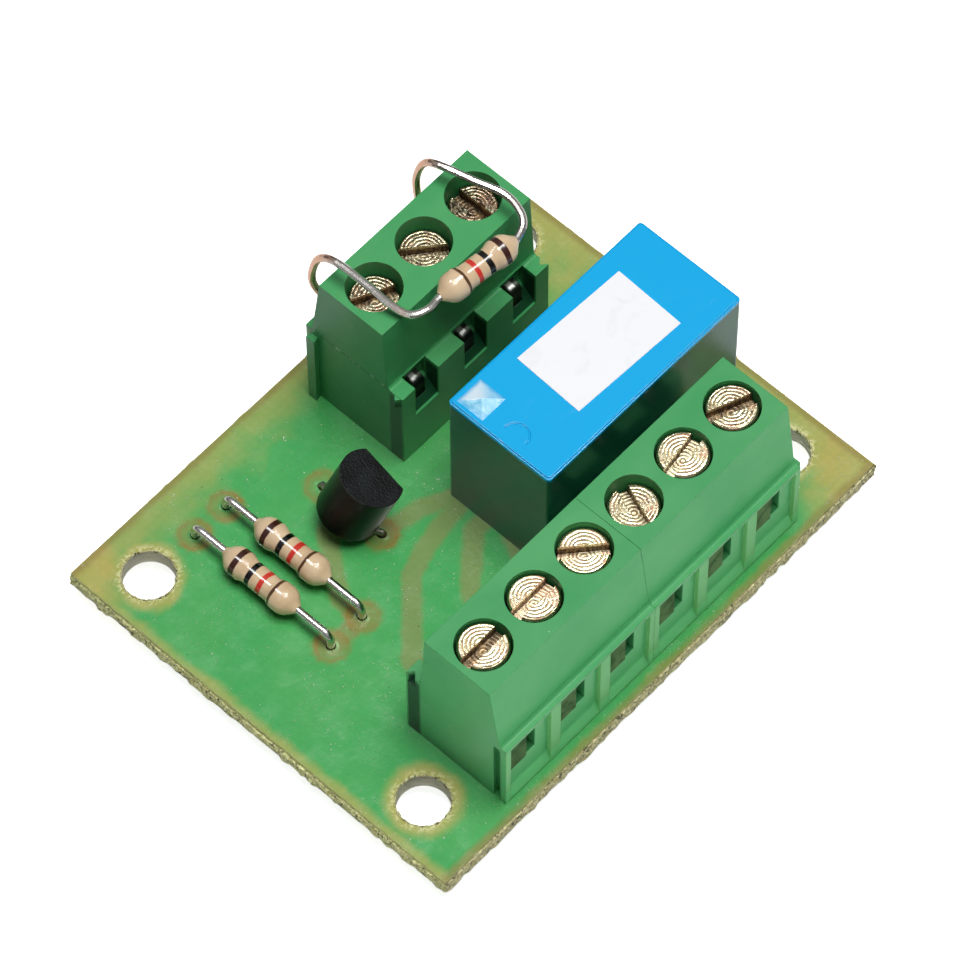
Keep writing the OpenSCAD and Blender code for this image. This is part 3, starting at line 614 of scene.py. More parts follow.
@dataclass(frozen=True)
class TurnedHead:
    """Turned and yellow-passivated steel of one clamp screw."""

    centre: Place
    top: float
    dirt: float
    tarnish: float
    seed: float
    pitch: float = 0.27
    cream: Colour = (0.80, 0.74, 0.50)
    bronze: Colour = (0.76, 0.58, 0.39)
    groove: Colour = (0.22, 0.15, 0.06)
    red_groove: Colour = (0.30, 0.13, 0.08)
    soot: Colour = (0.025, 0.018, 0.012)
    # the slot's colours: dirt on its floor, painted shade on its walls
    slot_dirt: Colour = (0.05, 0.025, 0.015)
    slot: Colour = (0.24, 0.16, 0.08)

    def material(self, name: str) -> bpy.types.Material:
        """Makes the finish.

        Args:
            name: The material's name.

        Returns:
            A metal with rings round the screw's axis and a darker slot.
        """
        g = Graph(name)
        away = g.range_to(*self.centre)
        smear = g.noise(0.9, 3.0, 0.5) - 0.5
        fine = g.noise(0.22, 4.0, 1.0) - 0.5
        rings = (away + smear * 0.22 + fine * 0.08 + self.seed * 0.04).wave(self.pitch)
        up = g.nz.ramp(0.6, 0.9)
        deep = (g.z - self.top).ramp(-0.12, -0.45)
        bronze = g.noise(1.5, 2.0, 0.6, stretch=(1.0, 1.0, 3.0)).ramp(0.44, 0.66)
        bright = g.mix(bronze, self.cream, self.bronze)
        dark = g.mix(bronze, self.groove, self.red_groove)
        line = rings.ramp(0.42, 0.85) * g.noise(0.8, 3.0, 0.4).ramp(0.30, 0.55)
        blot = g.noise(0.45, 4.0, 1.2).ramp(0.58, 0.72) * 0.7
        colour = g.mix(line.high(blot) * up * 0.9, bright, dark)
        spread = 0.64 - 0.16 * self.tarnish
        black = g.noise(0.35, 4.0, 1.6).ramp(spread, spread + 0.06)
        colour = g.mix(black * (0.3 + 0.6 * self.tarnish) * up, colour, self.soot)
        colour = g.shade(colour, 1.0 - 0.48 * self.tarnish)
        # dirt and painted shade: the slot's floor darkens with the screw's dirt, while its walls
        # and the head's sides below the top are always drawn dark
        floor = g.mix(g.noise(0.5, 3.0, 0.8).ramp(0.4, 0.65), self.slot_dirt, self.slot)
        dirt_and_shade = (1.0 - up) * (1.0 - self.dirt) + self.dirt
        colour = g.mix(deep * dirt_and_shade * 0.95, colour, floor)
        grooves = rings * up * 0.013 + fine * 0.020
        roughness = 0.24 + line * 0.2 + deep * 0.2
        return g.finish(colour, roughness, metallic=1.0, height=grooves, edge=0.05)


@dataclass(frozen=True)
class RelayShell:
    """Blue thermoplastic case: bright blue on top; its glossy sides are drawn deep teal as
    painted shade and painted green reflection.
    """

    top: float
    rim: float = 0.385
    top_blue: Colour = (0.0, 0.41, 0.82)
    pale_blue: Colour = (0.0, 0.45, 0.84)
    # painted shade and painted green reflection of the sides
    side_teal: Colour = (0.003, 0.095, 0.052)
    pale_teal: Colour = (0.006, 0.115, 0.060)

    def material(self, name: str) -> bpy.types.Material:
        """Makes the finish.

        Args:
            name: The material's name.

        Returns:
            A glossy plastic with faint scuffs.
        """
        g = Graph(name)
        rim = (g.z - self.top).ramp(-self.rim - 0.165, -self.rim + 0.165)
        up = g.nz.ramp(0.35, 0.7).high(rim)
        cloud = g.noise(7.0, 2.0, 0.3).ramp(0.3, 0.7)
        top = g.mix(cloud * 0.25, self.top_blue, self.pale_blue)
        haze = g.noise(4.0, 3.0).ramp(0.35, 0.7)
        # painted shade and painted reflection: the sides are drawn dark teal instead of the
        # case's blue
        side = g.mix(haze * 0.5, self.side_teal, self.pale_teal)
        colour = g.mix(up, side, top)
        scuff = g.noise(0.6, 4.0, 0.4, stretch=(4.0, 1.0, 1.0)).ramp(0.62, 0.75)
        roughness = 0.30 + scuff * 0.08 - up * 0.10
        relief = g.noise(2.4, 2.0) * 0.02 + g.noise(0.2, 2.0) * 0.003
        return g.finish(colour, roughness, height=relief, edge=0.12, specular=0.4)


@dataclass(frozen=True)
class SealedNib:
    """Blue plastic melted over the relay's vent, with a painted white reflection on its far
    facets.
    """

    centre: Place
    near: Colour = (0.06, 0.42, 0.66)
    near_pale: Colour = (0.20, 0.54, 0.74)
    # painted reflection of the far facets
    white: Colour = (0.66, 0.80, 0.90)
    sky: Colour = (0.28, 0.60, 0.84)
    case: Colour = (0.02, 0.40, 0.78)

    def material(self, name: str) -> bpy.types.Material:
        """Makes the finish.

        Args:
            name: The material's name.

        Returns:
            A glossy, uneven plastic.
        """
        g = Graph(name)
        u, v = g.x - self.centre[0], g.y - self.centre[1]
        cloud = g.noise(0.7, 3.0, 0.5)
        # painted reflection: the facets that face +X and +Y are drawn white, fading into sky
        # blue
        far = (u + v + (cloud - 0.5) * 0.8).ramp(-0.12, 0.12)
        near = g.mix(cloud.ramp(0.35, 0.65), self.near, self.near_pale)
        white = g.mix((u - v).ramp(-0.5, 1.2), self.white, self.sky)
        colour = g.mix(far, near, white)
        border = abs(u).high(abs(v)) + (cloud - 0.5) * 0.3
        colour = g.mix(border.ramp(0.85, 1.2) * 0.8, colour, self.case)
        return g.finish(colour, 0.26, height=cloud * 0.025, specular=0.3)


@dataclass(frozen=True)
class BandedBody:
    """Beige lacquer of a resistor with four painted bands round its axis."""

    centre: Point
    angle: float
    bands: tuple[tuple[float, float, Band], ...]
    beige: Colour = (0.66, 0.46, 0.275)
    pale: Colour = (0.76, 0.57, 0.37)

    def material(self, name: str) -> bpy.types.Material:
        """Makes the finish.

        Args:
            name: The material's name.

        Returns:
            A glossy lacquer with slightly uneven bands.
        """
        g = Graph(name)
        turn = math.radians(self.angle)
        along = (g.x - self.centre[0]) * math.cos(turn) + (g.y - self.centre[1]) * math.sin(turn)
        along = along + (g.noise(1.1, 2.0) - 0.5) * 0.16
        cloud = g.noise(1.8, 3.0, 0.4).ramp(0.3, 0.7)
        colour = g.mix(cloud, self.beige, self.pale)
        for place, width, band in self.bands:
            mask = abs(along - place).ramp(width / 2 + 0.04, width / 2 - 0.04)
            colour = g.mix(mask, colour, band.value)
        relief = g.noise(0.7, 2.0) * 0.03
        return g.finish(
            colour, 0.22, height=relief, coat=0.3, coat_roughness=0.10, specular=0.3
        )


@dataclass(frozen=True)
class DrawnWire:
    """Tinned copper wire, warm where the tin is thin, with a painted warm reflection on its
    underside.
    """

    tin: Colour = (0.66, 0.65, 0.62)
    warm: Colour = (0.66, 0.34, 0.20)
    warmth: float = 0.3
    roughness: float = 0.2
    bare_from: float | None = None

    def material(self, name: str) -> bpy.types.Material:
        """Makes the finish.

        Args:
            name: The material's name.

        Returns:
            A smooth metal with faint draw marks.
        """
        g = Graph(name)
        thin = g.noise(1.6, 3.0, 0.5).ramp(0.48, 0.72)
        # painted reflection: the wire's underside is drawn warm
        underside_reflection = g.nz.ramp(0.5, -0.6)
        bare = (thin * 0.6 + underside_reflection * 0.5).clamp() * self.warmth
        if self.bare_from is not None:
            bare = bare.high((g.y + thin - self.bare_from).ramp(0.0, 2.5) * 0.9)
        colour = g.mix(bare, self.tin, self.warm)
        marks = g.noise(0.25, 3.0, 0.4)
        roughness = marks * 0.16 + self.roughness - 0.06
        return g.finish(colour, roughness, metallic=1.0, height=marks * 0.005)


@dataclass(frozen=True)
class PressedMetal:
    """Pressed sheet metal of contacts and cages."""

    bright: Colour
    dull: Colour
    roughness: float = 0.3
    metallic: float = 1.0

    def material(self, name: str) -> bpy.types.Material:
        """Makes the finish.

        Args:
            name: The material's name.

        Returns:
            A stained metal.
        """
        g = Graph(name)
        stain = g.noise(1.3, 4.0, 0.7).ramp(0.35, 0.7)
        colour = g.mix(stain, self.bright, self.dull)
        relief = g.noise(0.3, 3.0) * 0.02
        return g.finish(
            colour, stain * 0.15 + self.roughness, self.metallic, height=relief, edge=0.06,
            specular=0.06 + 0.44 * self.metallic,
        )


@dataclass(frozen=True)
class SunkBlade:
    """Plated blade in a rear notch: its own grey at the tip, drawn near black below and beside
    it as painted shade.
    """

    tip: float
    pole: float
    aside: float = 0.12
    bright: Colour = (0.42, 0.42, 0.40)
    # painted shade below and beside the tip
    dark: Colour = (0.012, 0.020, 0.012)

    def material(self, name: str) -> bpy.types.Material:
        """Makes the finish.

        Args:
            name: The material's name.

        Returns:
            A metal with painted shade below its tip.
        """
        g = Graph(name)
        cloud = g.noise(0.5, 3.0, 0.4) - 0.5
        # painted shade: below the tip and away from one sliver the blade is drawn near black
        low = (g.z - self.tip + cloud * 0.3).ramp(0.03, -0.12)
        low = low.high(abs(g.x - self.pole + self.aside).ramp(0.16, 0.30))
        relief = g.noise(0.3, 3.0) * 0.02
        colour = g.mix(low * 0.95, self.bright, self.dark)
        return g.finish(colour, cloud * 0.2 + 0.48, metallic=1.0, height=relief, edge=0.06)


@dataclass(frozen=True)
class BlackPlastic:
    """Black moulding compound."""

    body: Colour = (0.0015, 0.002, 0.002)
    grey: Colour = (0.009, 0.012, 0.013)
    dust: Colour = (0.10, 0.11, 0.11)
    band: Colour = (0.62, 0.63, 0.62)
    grain: float = 0.035
    roughness: float = 0.30
    ring: float | None = None
    ring_w: float = 0.78

    def material(self, name: str) -> bpy.types.Material:
        """Makes the finish.

        Args:
            name: The material's name.

        Returns:
            A grainy black plastic with grey dust.
        """
        g = Graph(name)
        up = g.nz.ramp(0.5, 0.8)
        grain = g.noise(0.16, 3.0, 0.2) * up
        dust = g.specks(0.55, 0.10, 0.25) * (up * 0.7 + 0.3)
        cloud = g.noise(1.5, 3.0).ramp(0.3, 0.7) * (up * 0.8 + 0.2)
        colour = g.mix(dust * 0.5, g.mix(cloud, self.body, self.grey), self.dust)
        if self.ring is not None:
            half = self.ring_w / 2
            band = abs(g.x - self.ring).ramp(half + 0.03, half - 0.03)
            colour = g.mix(band, colour, self.band)
        return g.finish(
            colour, self.roughness + grain * 0.2, height=grain * self.grain, edge=0.10,
            specular=0.16,
        )


@dataclass(frozen=True)
class PaperLabel:
    """White glossy paper."""

    paper: Colour = (0.86, 0.87, 0.90)
    smudge: Colour = (0.66, 0.67, 0.72)

    def material(self, name: str) -> bpy.types.Material:
        """Makes the finish.

        Args:
            name: The material's name.

        Returns:
            A white paper with faint creases and grey smudges.
        """
        g = Graph(name)
        smudge = g.noise(1.7, 4.0, 0.8).ramp(0.52, 0.80)
        colour = g.mix(smudge * 0.3, self.paper, self.smudge)
        crease = abs(g.noise(2.2, 2.0, 1.4) - 0.5).ramp(0.02, 0.0)
        relief = g.noise(0.15, 2.0) * 0.003 + crease * 0.002
        return g.finish(colour, 0.42, height=relief)


@dataclass(frozen=True)
class Foil:
    """Copper foil: bright tinned pads, tracks under green resist."""

    pads: tuple[Place, ...]
    pad_radius: float = 1.22
    resist: Colour = (0.05, 0.30, 0.08)
    pale_resist: Colour = (0.08, 0.36, 0.10)
    tin: Colour = (0.70, 0.69, 0.64)
    copper: Colour = (0.62, 0.48, 0.36)

    def material(self, name: str) -> bpy.types.Material:
        """Makes the finish.

        Args:
            name: The material's name.

        Returns:
            A foil finish.
        """
        g = Graph(name)
        bare = highest(g.disc(x, y, self.pad_radius, 0.04) for x, y in self.pads)
        tone = g.noise(1.2, 3.0).ramp(0.3, 0.7)
        resist = g.mix(tone, self.resist, self.pale_resist)
        tinned = g.mix(tone, self.tin, self.copper)
        return g.finish(g.mix(bare, resist, tinned), 0.3 - bare * 0.05, metallic=bare)


@dataclass(frozen=True)
class SolderAlloy:
    """Bright lead-tin solder with flux stains."""

    bright: Colour = (0.78, 0.78, 0.76)
    flux: Colour = (0.42, 0.28, 0.12)

    def material(self, name: str) -> bpy.types.Material:
        """Makes the finish.

        Args:
            name: The material's name.

        Returns:
            A bright, slightly lumpy metal.
        """
        g = Graph(name)
        flux = g.noise(0.9, 3.0, 0.6).ramp(0.55, 0.75)
        colour = g.mix(flux * 0.5, self.bright, self.flux)
        lumps = g.noise(0.5, 3.0) * 0.08
        return g.finish(colour, 0.20 + flux * 0.2, metallic=1.0, height=lumps)


# ------------------------------------------------------------------ assemblies


def dress(node: str, material: bpy.types.Material) -> None:
    """Gives a CAD node its finish.

    Args:
        node: The node's name.
        material: The finish.
    """
    mesh = frame["nodes"][node].data
    if not mesh.materials:
        mesh.materials.append(material)
    for slot in range(len(mesh.materials)):
        mesh.materials[slot] = material
    LOG.info("dressed %s", node)


def box(node: str) -> tuple[Vector, Vector]:
    """The low and the high corner of a CAD node's box, in millimetres."""
    low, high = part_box(node)
    return Vector(low) / MM, Vector(high) / MM


def middle(node: str) -> Vector:
    """The middle of a CAD node's box, in millimetres."""
    low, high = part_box(node)
    return (Vector(low) + Vector(high)) / 2 / MM


class Bench:
    """Hand tools: the steps that every new piece goes through."""

    @staticmethod
    def take(piece: bpy.types.Object | None = None) -> None:
        """Leaves edit mode, deselects everything and takes one piece.

        Args:
            piece: The object, or None to take nothing.
        """
        if bpy.context.object and bpy.context.object.mode != "OBJECT":
            bpy.ops.object.mode_set(mode="OBJECT")
        bpy.ops.object.select_all(action="DESELECT")
        if piece:
            piece.select_set(True)
            bpy.context.view_layer.objects.active = piece

    @staticmethod
    def name(name: str) -> bpy.types.Object:
        """Names the new object and moves its place into its mesh.

        Args:
            name: The piece's name.

        Returns:
            The object.
        """
        made = bpy.context.object
        made.name = name
        made.data.name = name
        bpy.ops.object.transform_apply(location=True, rotation=True, scale=True)
        return made

    @staticmethod
    def cube(name: str, centre: Point, size: Point) -> bpy.types.Object:
        """Adds a block.

        Args:
            name: The piece's name.
            centre: Its middle in millimetres.
            size: Its sizes in millimetres.

        Returns:
            The object.
        """
        Bench.take()
        bpy.ops.mesh.primitive_cube_add(size=MM, location=Vector(centre) * MM)
        bpy.context.object.scale = size
        return Bench.name(name)

    @staticmethod
    def copy(piece: bpy.types.Object, name: str, shift: Number) -> bpy.types.Object:
        """Copies a piece, mesh and all, along X.

        Args:
            piece: The object.
            name: The copy's name.
            shift: How far along X it goes, in millimetres.

        Returns:
            The copy.
        """
        Bench.take(piece)
        bpy.ops.object.duplicate(linked=False)
        bpy.context.object.location.x = shift * MM
        return Bench.name(name)

    @staticmethod
    def pick(
        piece: bpy.types.Object, rule: Callable[[Vector, Vector], bool], faces: bool = False
    ) -> None:
        """Opens edit mode with the edges or faces selected that a rule takes.

        Args:
            piece: The object.
            rule: Says of an edge's two ends, or of a face's middle and its normal, whether
                it is taken. Places are in millimetres.
            faces: Whether faces are picked.
        """
        Bench.take(piece)
        mesh = piece.data
        for part in (*mesh.vertices, *mesh.edges, *mesh.polygons):
            part.select = False
        if faces:
            for face in mesh.polygons:
                face.select = rule(face.center / MM, face.normal)
        else:
            for edge in mesh.edges:
                edge.select = rule(*(mesh.vertices[i].co / MM for i in edge.vertices))
        bpy.ops.object.mode_set(mode="EDIT")
        bpy.ops.mesh.select_mode(type="FACE" if faces else "EDGE")

    @staticmethod
    def modify(piece: bpy.types.Object, kind: str, **settings) -> None:
        """Adds a modifier and applies it.

        Args:
            piece: The object.
            kind: The modifier's type.
            **settings: Its settings.
        """
        Bench.take(piece)
        bpy.ops.object.modifier_add(type=kind)
        modifier = piece.modifiers[-1]
        for key, value in settings.items():
            setattr(modifier, key, value)
        bpy.ops.object.modifier_apply(modifier=modifier.name)

    @staticmethod
    def roughen(piece: bpy.types.Object, size: float, depth: float, middle_level: float) -> None:
        """Pushes the surface in and out by clouds.

        Args:
            piece: The object.
            size: The size of the clouds in millimetres.
            depth: How far they push in millimetres.
            middle_level: The cloud value that stays in place.
        """
        clouds = bpy.data.textures.new(piece.name + "_clouds", "CLOUDS")
        clouds.noise_scale = size * MM
        clouds.noise_depth = 1
        Bench.modify(
            piece, "DISPLACE", texture=clouds, texture_coords="LOCAL",
            strength=depth * MM, mid_level=middle_level,
        )

    @staticmethod
    def hand_over(
        piece: bpy.types.Object, finish: bpy.types.Material, slot: str, smooth: float = 60.0
    ) -> None:
        """Ends a piece that rides on the board: shading, finish and attachment to the board.

        Args:
            piece: The object.
            finish: Its finish.
            slot: The record's material slot; not used.
            smooth: Faces that meet at less than this angle are shaded smooth.
        """
        Bench.take(piece)
        bpy.ops.object.shade_smooth_by_angle(angle=math.radians(smooth))
        piece.data.materials.clear()
        piece.data.materials.append(finish)
        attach(piece, "board")
        LOG.info("made %s", piece.name)


@dataclass
class CircuitBoard:
    """The laminate with its foil, solder and frayed sides."""

    fray_depth: float = 0.16
    fray_step: float = 0.16
    lip_radius: float = 2.0
    lip_thickness: float = 0.085
    lead: float = 0.3
    thin_lead: float = 0.25
    pin_columns: tuple[float, ...] = (0.3, 8.0, 13.1, 18.1)
    part_pads: int = 9
    # the foil's bands, from the board's front left corner
    tracks: tuple[tuple[Place, ...], ...] = (
        ((23.9, 19.8), (18.3, 18.9), (16.1, 18.1), (11.2, 13.5), (9.8, 9.3)),
        ((30.1, 17.4), (21.8, 17.4), (18.0, 14.3), (14.9, 9.3)),
        ((23.3, 15.2), (22.2, 12.9), (20.0, 9.3)),
        ((23.9, 19.8), (20.5, 21.4), (17.2, 22.0)),
        ((17.2, 24.9), (14.6, 24.9), (11.2, 20.4), (11.3, 18.4)),
        ((8.2, 18.4), (11.3, 18.4)),
    )

    def build(self) -> None:
        """Dresses the board's nodes and adds its frayed edge."""
        low, high = box("circuit_board")
        size = (high.x - low.x, high.y - low.y)
        mount = frame["record"]["mounts"][0]
        mx, my = (c / MM for c in mount["pos_m"][:2])
        sx, sy = mount["dims"]["spacing_x_mm"] / 2, mount["dims"]["spacing_y_mm"] / 2
        holes = tuple((mx + a * sx, my + b * sy) for a in (-1, 1) for b in (-1, 1))
        pads = self.pad_places()
        tracks = tuple(tuple((low.x + x, low.y + y) for x, y in way) for way in self.tracks)
        laminate = Laminate(size, holes, pads[: self.part_pads], tracks)
        dress("circuit_board", laminate.material("laminate"))
        dress("copper_tracks", Foil(pads).material("foil"))
        dress("solder_joints", SolderAlloy().material("solder"))
        torn = TornFibre().material("torn_fibre")
        # painted light: the left side's torn fibres are drawn lighter and greener than the
        # others
        fresh = TornFibre((0.52, 0.54, 0.17), (0.94, 0.95, 0.48)).material("fresh_fibre")
        mid = (low.z + high.z) / 2
        for name, centre, strip, finish in (
            ("left_fray", (low.x, 0.0, mid - 0.15), (0.22, size[1], 1.0), fresh),
            ("front_fray", (0.0, low.y, mid - 0.1), (size[0], 0.22, 1.15), torn),
            ("right_fray", (high.x, 0.0, mid), (0.12, size[1], 0.9), torn),
            ("rear_fray", (0.0, high.y, mid), (size[0], 0.12, 0.9), torn),
        ):
            self.fray(name, centre, strip, finish)
        self.hole_lips(holes, high.z, torn)

    def fray(self, name: str, centre: Point, size: Point, finish: bpy.types.Material) -> None:
        """Adds torn fibres along one sawn side.

        Args:
            name: The piece's name.
            centre: The middle of the strip.
            size: Its sizes along X, Y and Z.
            finish: Its finish.
        """
        strip = Bench.cube(name, centre, size)
        axis = 0 if size[0] > size[1] else 1
        Bench.pick(strip, lambda a, b: abs(a[axis] - b[axis]) > 1.0)
        bpy.ops.mesh.subdivide(number_cuts=int(size[axis] / self.fray_step))
        Bench.pick(strip, lambda a, b: abs(a.z - b.z) > 0.2)
        bpy.ops.mesh.subdivide(number_cuts=3)
        Bench.roughen(strip, 0.75, self.fray_depth * 2.2, 0.45)
        Bench.roughen(strip, 0.30, self.fray_depth * 1.3, 0.5)
        Bench.hand_over(strip, finish, "laminate")

    def hole_lips(
        self, holes: tuple[Place, ...], top: float, finish: bpy.types.Material
    ) -> None:
        """Adds a chipped lip round each mounting hole.

        Args:
            holes: The places of the holes.
            top: The height of the board's top.
            finish: The lips' finish.
        """
        for index, (x, y) in enumerate(holes):
            Bench.take()
            bpy.ops.mesh.primitive_torus_add(
                location=(x * MM, y * MM, (top - 0.03) * MM), major_radius=self.lip_radius * MM,
                minor_radius=self.lip_thickness * MM, major_segments=144, minor_segments=6,
            )
            lip = Bench.name(f"hole_lip_{index + 1}")
            Bench.roughen(lip, 0.35, 0.20, 0.5)
            Bench.roughen(lip, 0.14, 0.10, 0.5)
            Bench.hand_over(lip, finish, "laminate")

    def pad_places(self) -> tuple[Place, ...]:
        """Finds where leads pass the board.

        Returns:
            The places: nine of the small parts first, then the pins.
        """
        places = []
        lead, thin = self.lead, self.thin_lead
        for node in ("resistor_1_leads", "resistor_2_leads"):
            low, high = box(node)
            x = (low.x + high.x) / 2
            places += [(x, low.y + lead), (x, high.y - lead)]
        low, high = box("transistor_leads")
        x = high.x - thin
        places += [(x, low.y + thin), (x, (low.y + high.y) / 2), (x, high.y - thin)]
        low, high = box("diode_leads")
        y = (low.y + high.y) / 2
        places += [(low.x + lead, y), (high.x - lead, y)]
        low, high = box("relay_pins")
        for column in self.pin_columns:
            places += [(low.x + column, low.y + lead), (low.x + column, high.y - lead)]
        for i in range(1, 7):
            low, high = box(f"output_contact_{i}")
            places.append(((low.x + high.x) / 2, high.y - lead))
        for i in range(1, 4):
            low, high = box(f"input_contact_{i}")
            places.append(((low.x + high.x) / 2, low.y + lead))
        return tuple(places)


@dataclass
class Terminals:
    """The nine clamps and their three housings."""

    # how full of dirt and how dull each screw is, outputs first
    dirt: tuple[float, ...] = (0.9, 0.15, 0.2, 0.35, 0.2, 0.8, 0.7, 0.2, 0.8)
    tarnish: tuple[float, ...] = (0.5, 0.45, 0.3, 0.6, 0.45, 0.65, 0.85, 0.8, 1.0)
    output_ledge: float = 10.7
    input_ledge: float = 11.6
    leaf_aside: float = -1.01
    leaf_depth: float = 0.25
    leaf_w: float = 1.66
    leaf_t: float = 0.09
    leaf_foot: float = 3.7
    leaf_top: float = 6.8
    clamped_leaf_top: float = 6.1
    leaf_lip: float = 0.4
    leaf_bend: float = 0.45

    def build(self) -> None:
        """Dresses the housings and the metal parts in them."""
        front = box("output_housing_left")[0].y
        rear = box("input_housing")[1].y
        for node in ("output_housing_left", "output_housing_right"):
            finish = MouldedGreen(front, self.output_ledge, box(node)[0].x)
            dress(node, finish.material("housing_" + node))
        end = box("input_housing")[0].x
        finish = MouldedGreen(rear, self.input_ledge, end, end_line=0.8)
        dress("input_housing", finish.material("housing_input_housing"))
        cage = PressedMetal((0.52, 0.47, 0.28), (0.34, 0.30, 0.17), 0.38).material("cage")
        names = [f"output_{{}}_{i}" for i in range(1, 7)]
        names += [f"input_{{}}_{i}" for i in range(1, 4)]
        for place, (name, dirt) in enumerate(zip(names, self.dirt)):
            contact = name.format("contact")
            finish = SunkBlade(box(contact)[1].z, middle(contact).x)
            dress(contact, finish.material("blade_" + contact))
            dress(name.format("cage"), cage)
            screw = name.format("screw")
            at = middle(screw)
            top = box(screw)[1].z
            finish = TurnedHead((at.x, at.y), top, dirt, self.tarnish[place], place)
            dress(screw, finish.material("turned_" + screw))
        # painted shade: the leaves are drawn as a dark green non-metal, a shaded copy of the
        # cages' metal
        leaf = PressedMetal((0.075, 0.15, 0.05), (0.03, 0.08, 0.025), 0.55, 0.0).material("leaf")
        high, low = self.leaf_top, self.clamped_leaf_top
        self.leaves("output", (high,) * 6, front, 1, leaf)
        self.leaves("input", (low, high, low), rear, -1, leaf)

    def leaves(
        self, kind: str, tops: tuple[float, ...], face: float, way: int,
        finish: bpy.types.Material,
    ) -> None:
        """Sets a leaf in each wire entry of a block: one of each height is bent, then copied.

        Args:
            kind: The block's name, output or input.
            tops: The heights of the leaves' tops above the board, from pole 1 on.
            face: The wire face's place along Y.
            way: 1 where the block's depth runs along +Y, and -1 where it runs along -Y.
            finish: Their finish.
        """
        bent, leaves = {}, []
        for pole, top in enumerate(tops, 1):
            name = f"{kind}_leaf_{pole}"
            x = middle(f"{kind}_contact_{pole}").x + way * self.leaf_aside
            if top in bent:
                first, place = bent[top]
                leaves.append(Bench.copy(first, name, x - place))
            else:
                leaves.append(self.leaf(name, x, face, way, top))
                bent[top] = (leaves[-1], x)
        for leaf in leaves:
            Bench.hand_over(leaf, finish, "cage_metal")

    def leaf(
        self, name: str, x: float, face: float, way: int, top: float
    ) -> bpy.types.Object:
        """Bends the leaf that stands in a wire entry.

        Args:
            name: The piece's name.
            x: Its place along X.
            face: The wire face's place along Y.
            way: 1 where the block's depth runs along +Y, and -1 where it runs along -Y.
            top: The height of its top above the board.

        Returns:
            The leaf.
        """
        board = box("circuit_board")[1].z
        y = face + way * (self.leaf_depth + self.leaf_t / 2)
        z = board + (self.leaf_foot + top) / 2
        plate = Bench.cube(name, (x, y, z), (self.leaf_w, self.leaf_t, top - self.leaf_foot))
        Bench.pick(plate, lambda a, b: abs(a.z - b.z) > 0.5)
        bpy.ops.mesh.subdivide(number_cuts=8)
        lip = board + top - self.leaf_lip
        Bench.pick(plate, lambda c, n: n.y * way > 0.9 and c.z > lip, faces=True)
        bpy.ops.mesh.extrude_region_move(
            TRANSFORM_OT_translate={"value": (0.0, way * self.leaf_bend * MM, 0.0)}
        )
        Bench.modify(plate, "BEVEL", width=0.03 * MM, segments=3)
        return plate


@dataclass
class Relay:
    """The relay's case, base, pins, label and sealed vent."""

    nib_size: float = 2.4
    nib_rise: float = 0.24
    nib_aside: Place = (1.64, 1.67)

    def build(self) -> None:
        """Dresses the relay's nodes."""
        low, high = box("relay_case")
        dress("relay_case", RelayShell(high.z).material("relay_shell"))
        dress("relay_base", BlackPlastic().material("relay_base"))
        dress("relay_pins", DrawnWire(warmth=0.0).material("relay_pins"))
        dress("relay_label", PaperLabel().material("relay_label"))
        self.nib((low.x + self.nib_aside[0], high.y - self.nib_aside[1]), high.z)

    def nib(self, centre: Place, top: float) -> None:
        """Adds the low pyramid that seals the vent.

        Args:
            centre: Its place in plan.
            top: The height of the case's top.
        """
        Bench.take()
        half = self.nib_size / 2
        bpy.ops.mesh.primitive_cone_add(
            vertices=4, radius1=half * math.sqrt(2) * MM, radius2=0.0,
            depth=self.nib_rise * MM, rotation=(0.0, 0.0, math.pi / 4),
            location=(centre[0] * MM, centre[1] * MM, (top + self.nib_rise / 2) * MM),
        )
        nib = Bench.name("sealed_vent")
        Bench.pick(nib, lambda c, n: True, faces=True)
        bpy.ops.mesh.subdivide(number_cuts=5)
        Bench.roughen(nib, 0.9, 0.05, 0.5)
        finish = SealedNib(centre).material("sealed_vent")
        Bench.hand_over(nib, finish, "relay_blue", smooth=12.0)


@dataclass
class SmallParts:
    """Resistors, transistor and diode."""

    # each band's place from the body's middle, its width and its colour
    code: tuple[tuple[float, float, Band], ...] = (
        (2.02, 0.46, Band.BROWN), (0.66, 0.44, Band.BLACK),
        (-0.42, 0.40, Band.RED), (-1.55, 0.26, Band.GOLD),
    )
    ring_aside: float = 0.85

    def build(self) -> None:
        """Dresses the small parts' nodes."""
        lead = DrawnWire(roughness=0.17, warmth=0.25).material("tinned_lead")
        for index, angle in ((1, 90.0), (2, 90.0), (3, -6.0)):
            node = f"resistor_{index}_body"
            at = middle(node)
            finish = BandedBody(tuple(at), angle, self.code)
            dress(node, finish.material(f"banded_{index}"))
        for node in ("resistor_1_leads", "resistor_2_leads", "diode_leads"):
            dress(node, lead)
        dull = DrawnWire(tin=(0.30, 0.31, 0.28), roughness=0.35).material("dull_lead")
        dress("transistor_leads", dull)
        face = box("input_housing")[1].y
        clamped = DrawnWire(
            tin=(0.54, 0.52, 0.49), warmth=0.45, roughness=0.17, bare_from=face - 2.5
        )
        dress("resistor_3_leads", clamped.material("clamped_lead"))
        dress("transistor_body", BlackPlastic(grain=0.05).material("transistor"))
        ring = box("diode_body")[0].x + self.ring_aside
        dress("diode_body", BlackPlastic(roughness=0.25, ring=ring).material("diode"))


# ------------------------------------------------------------------------ stage


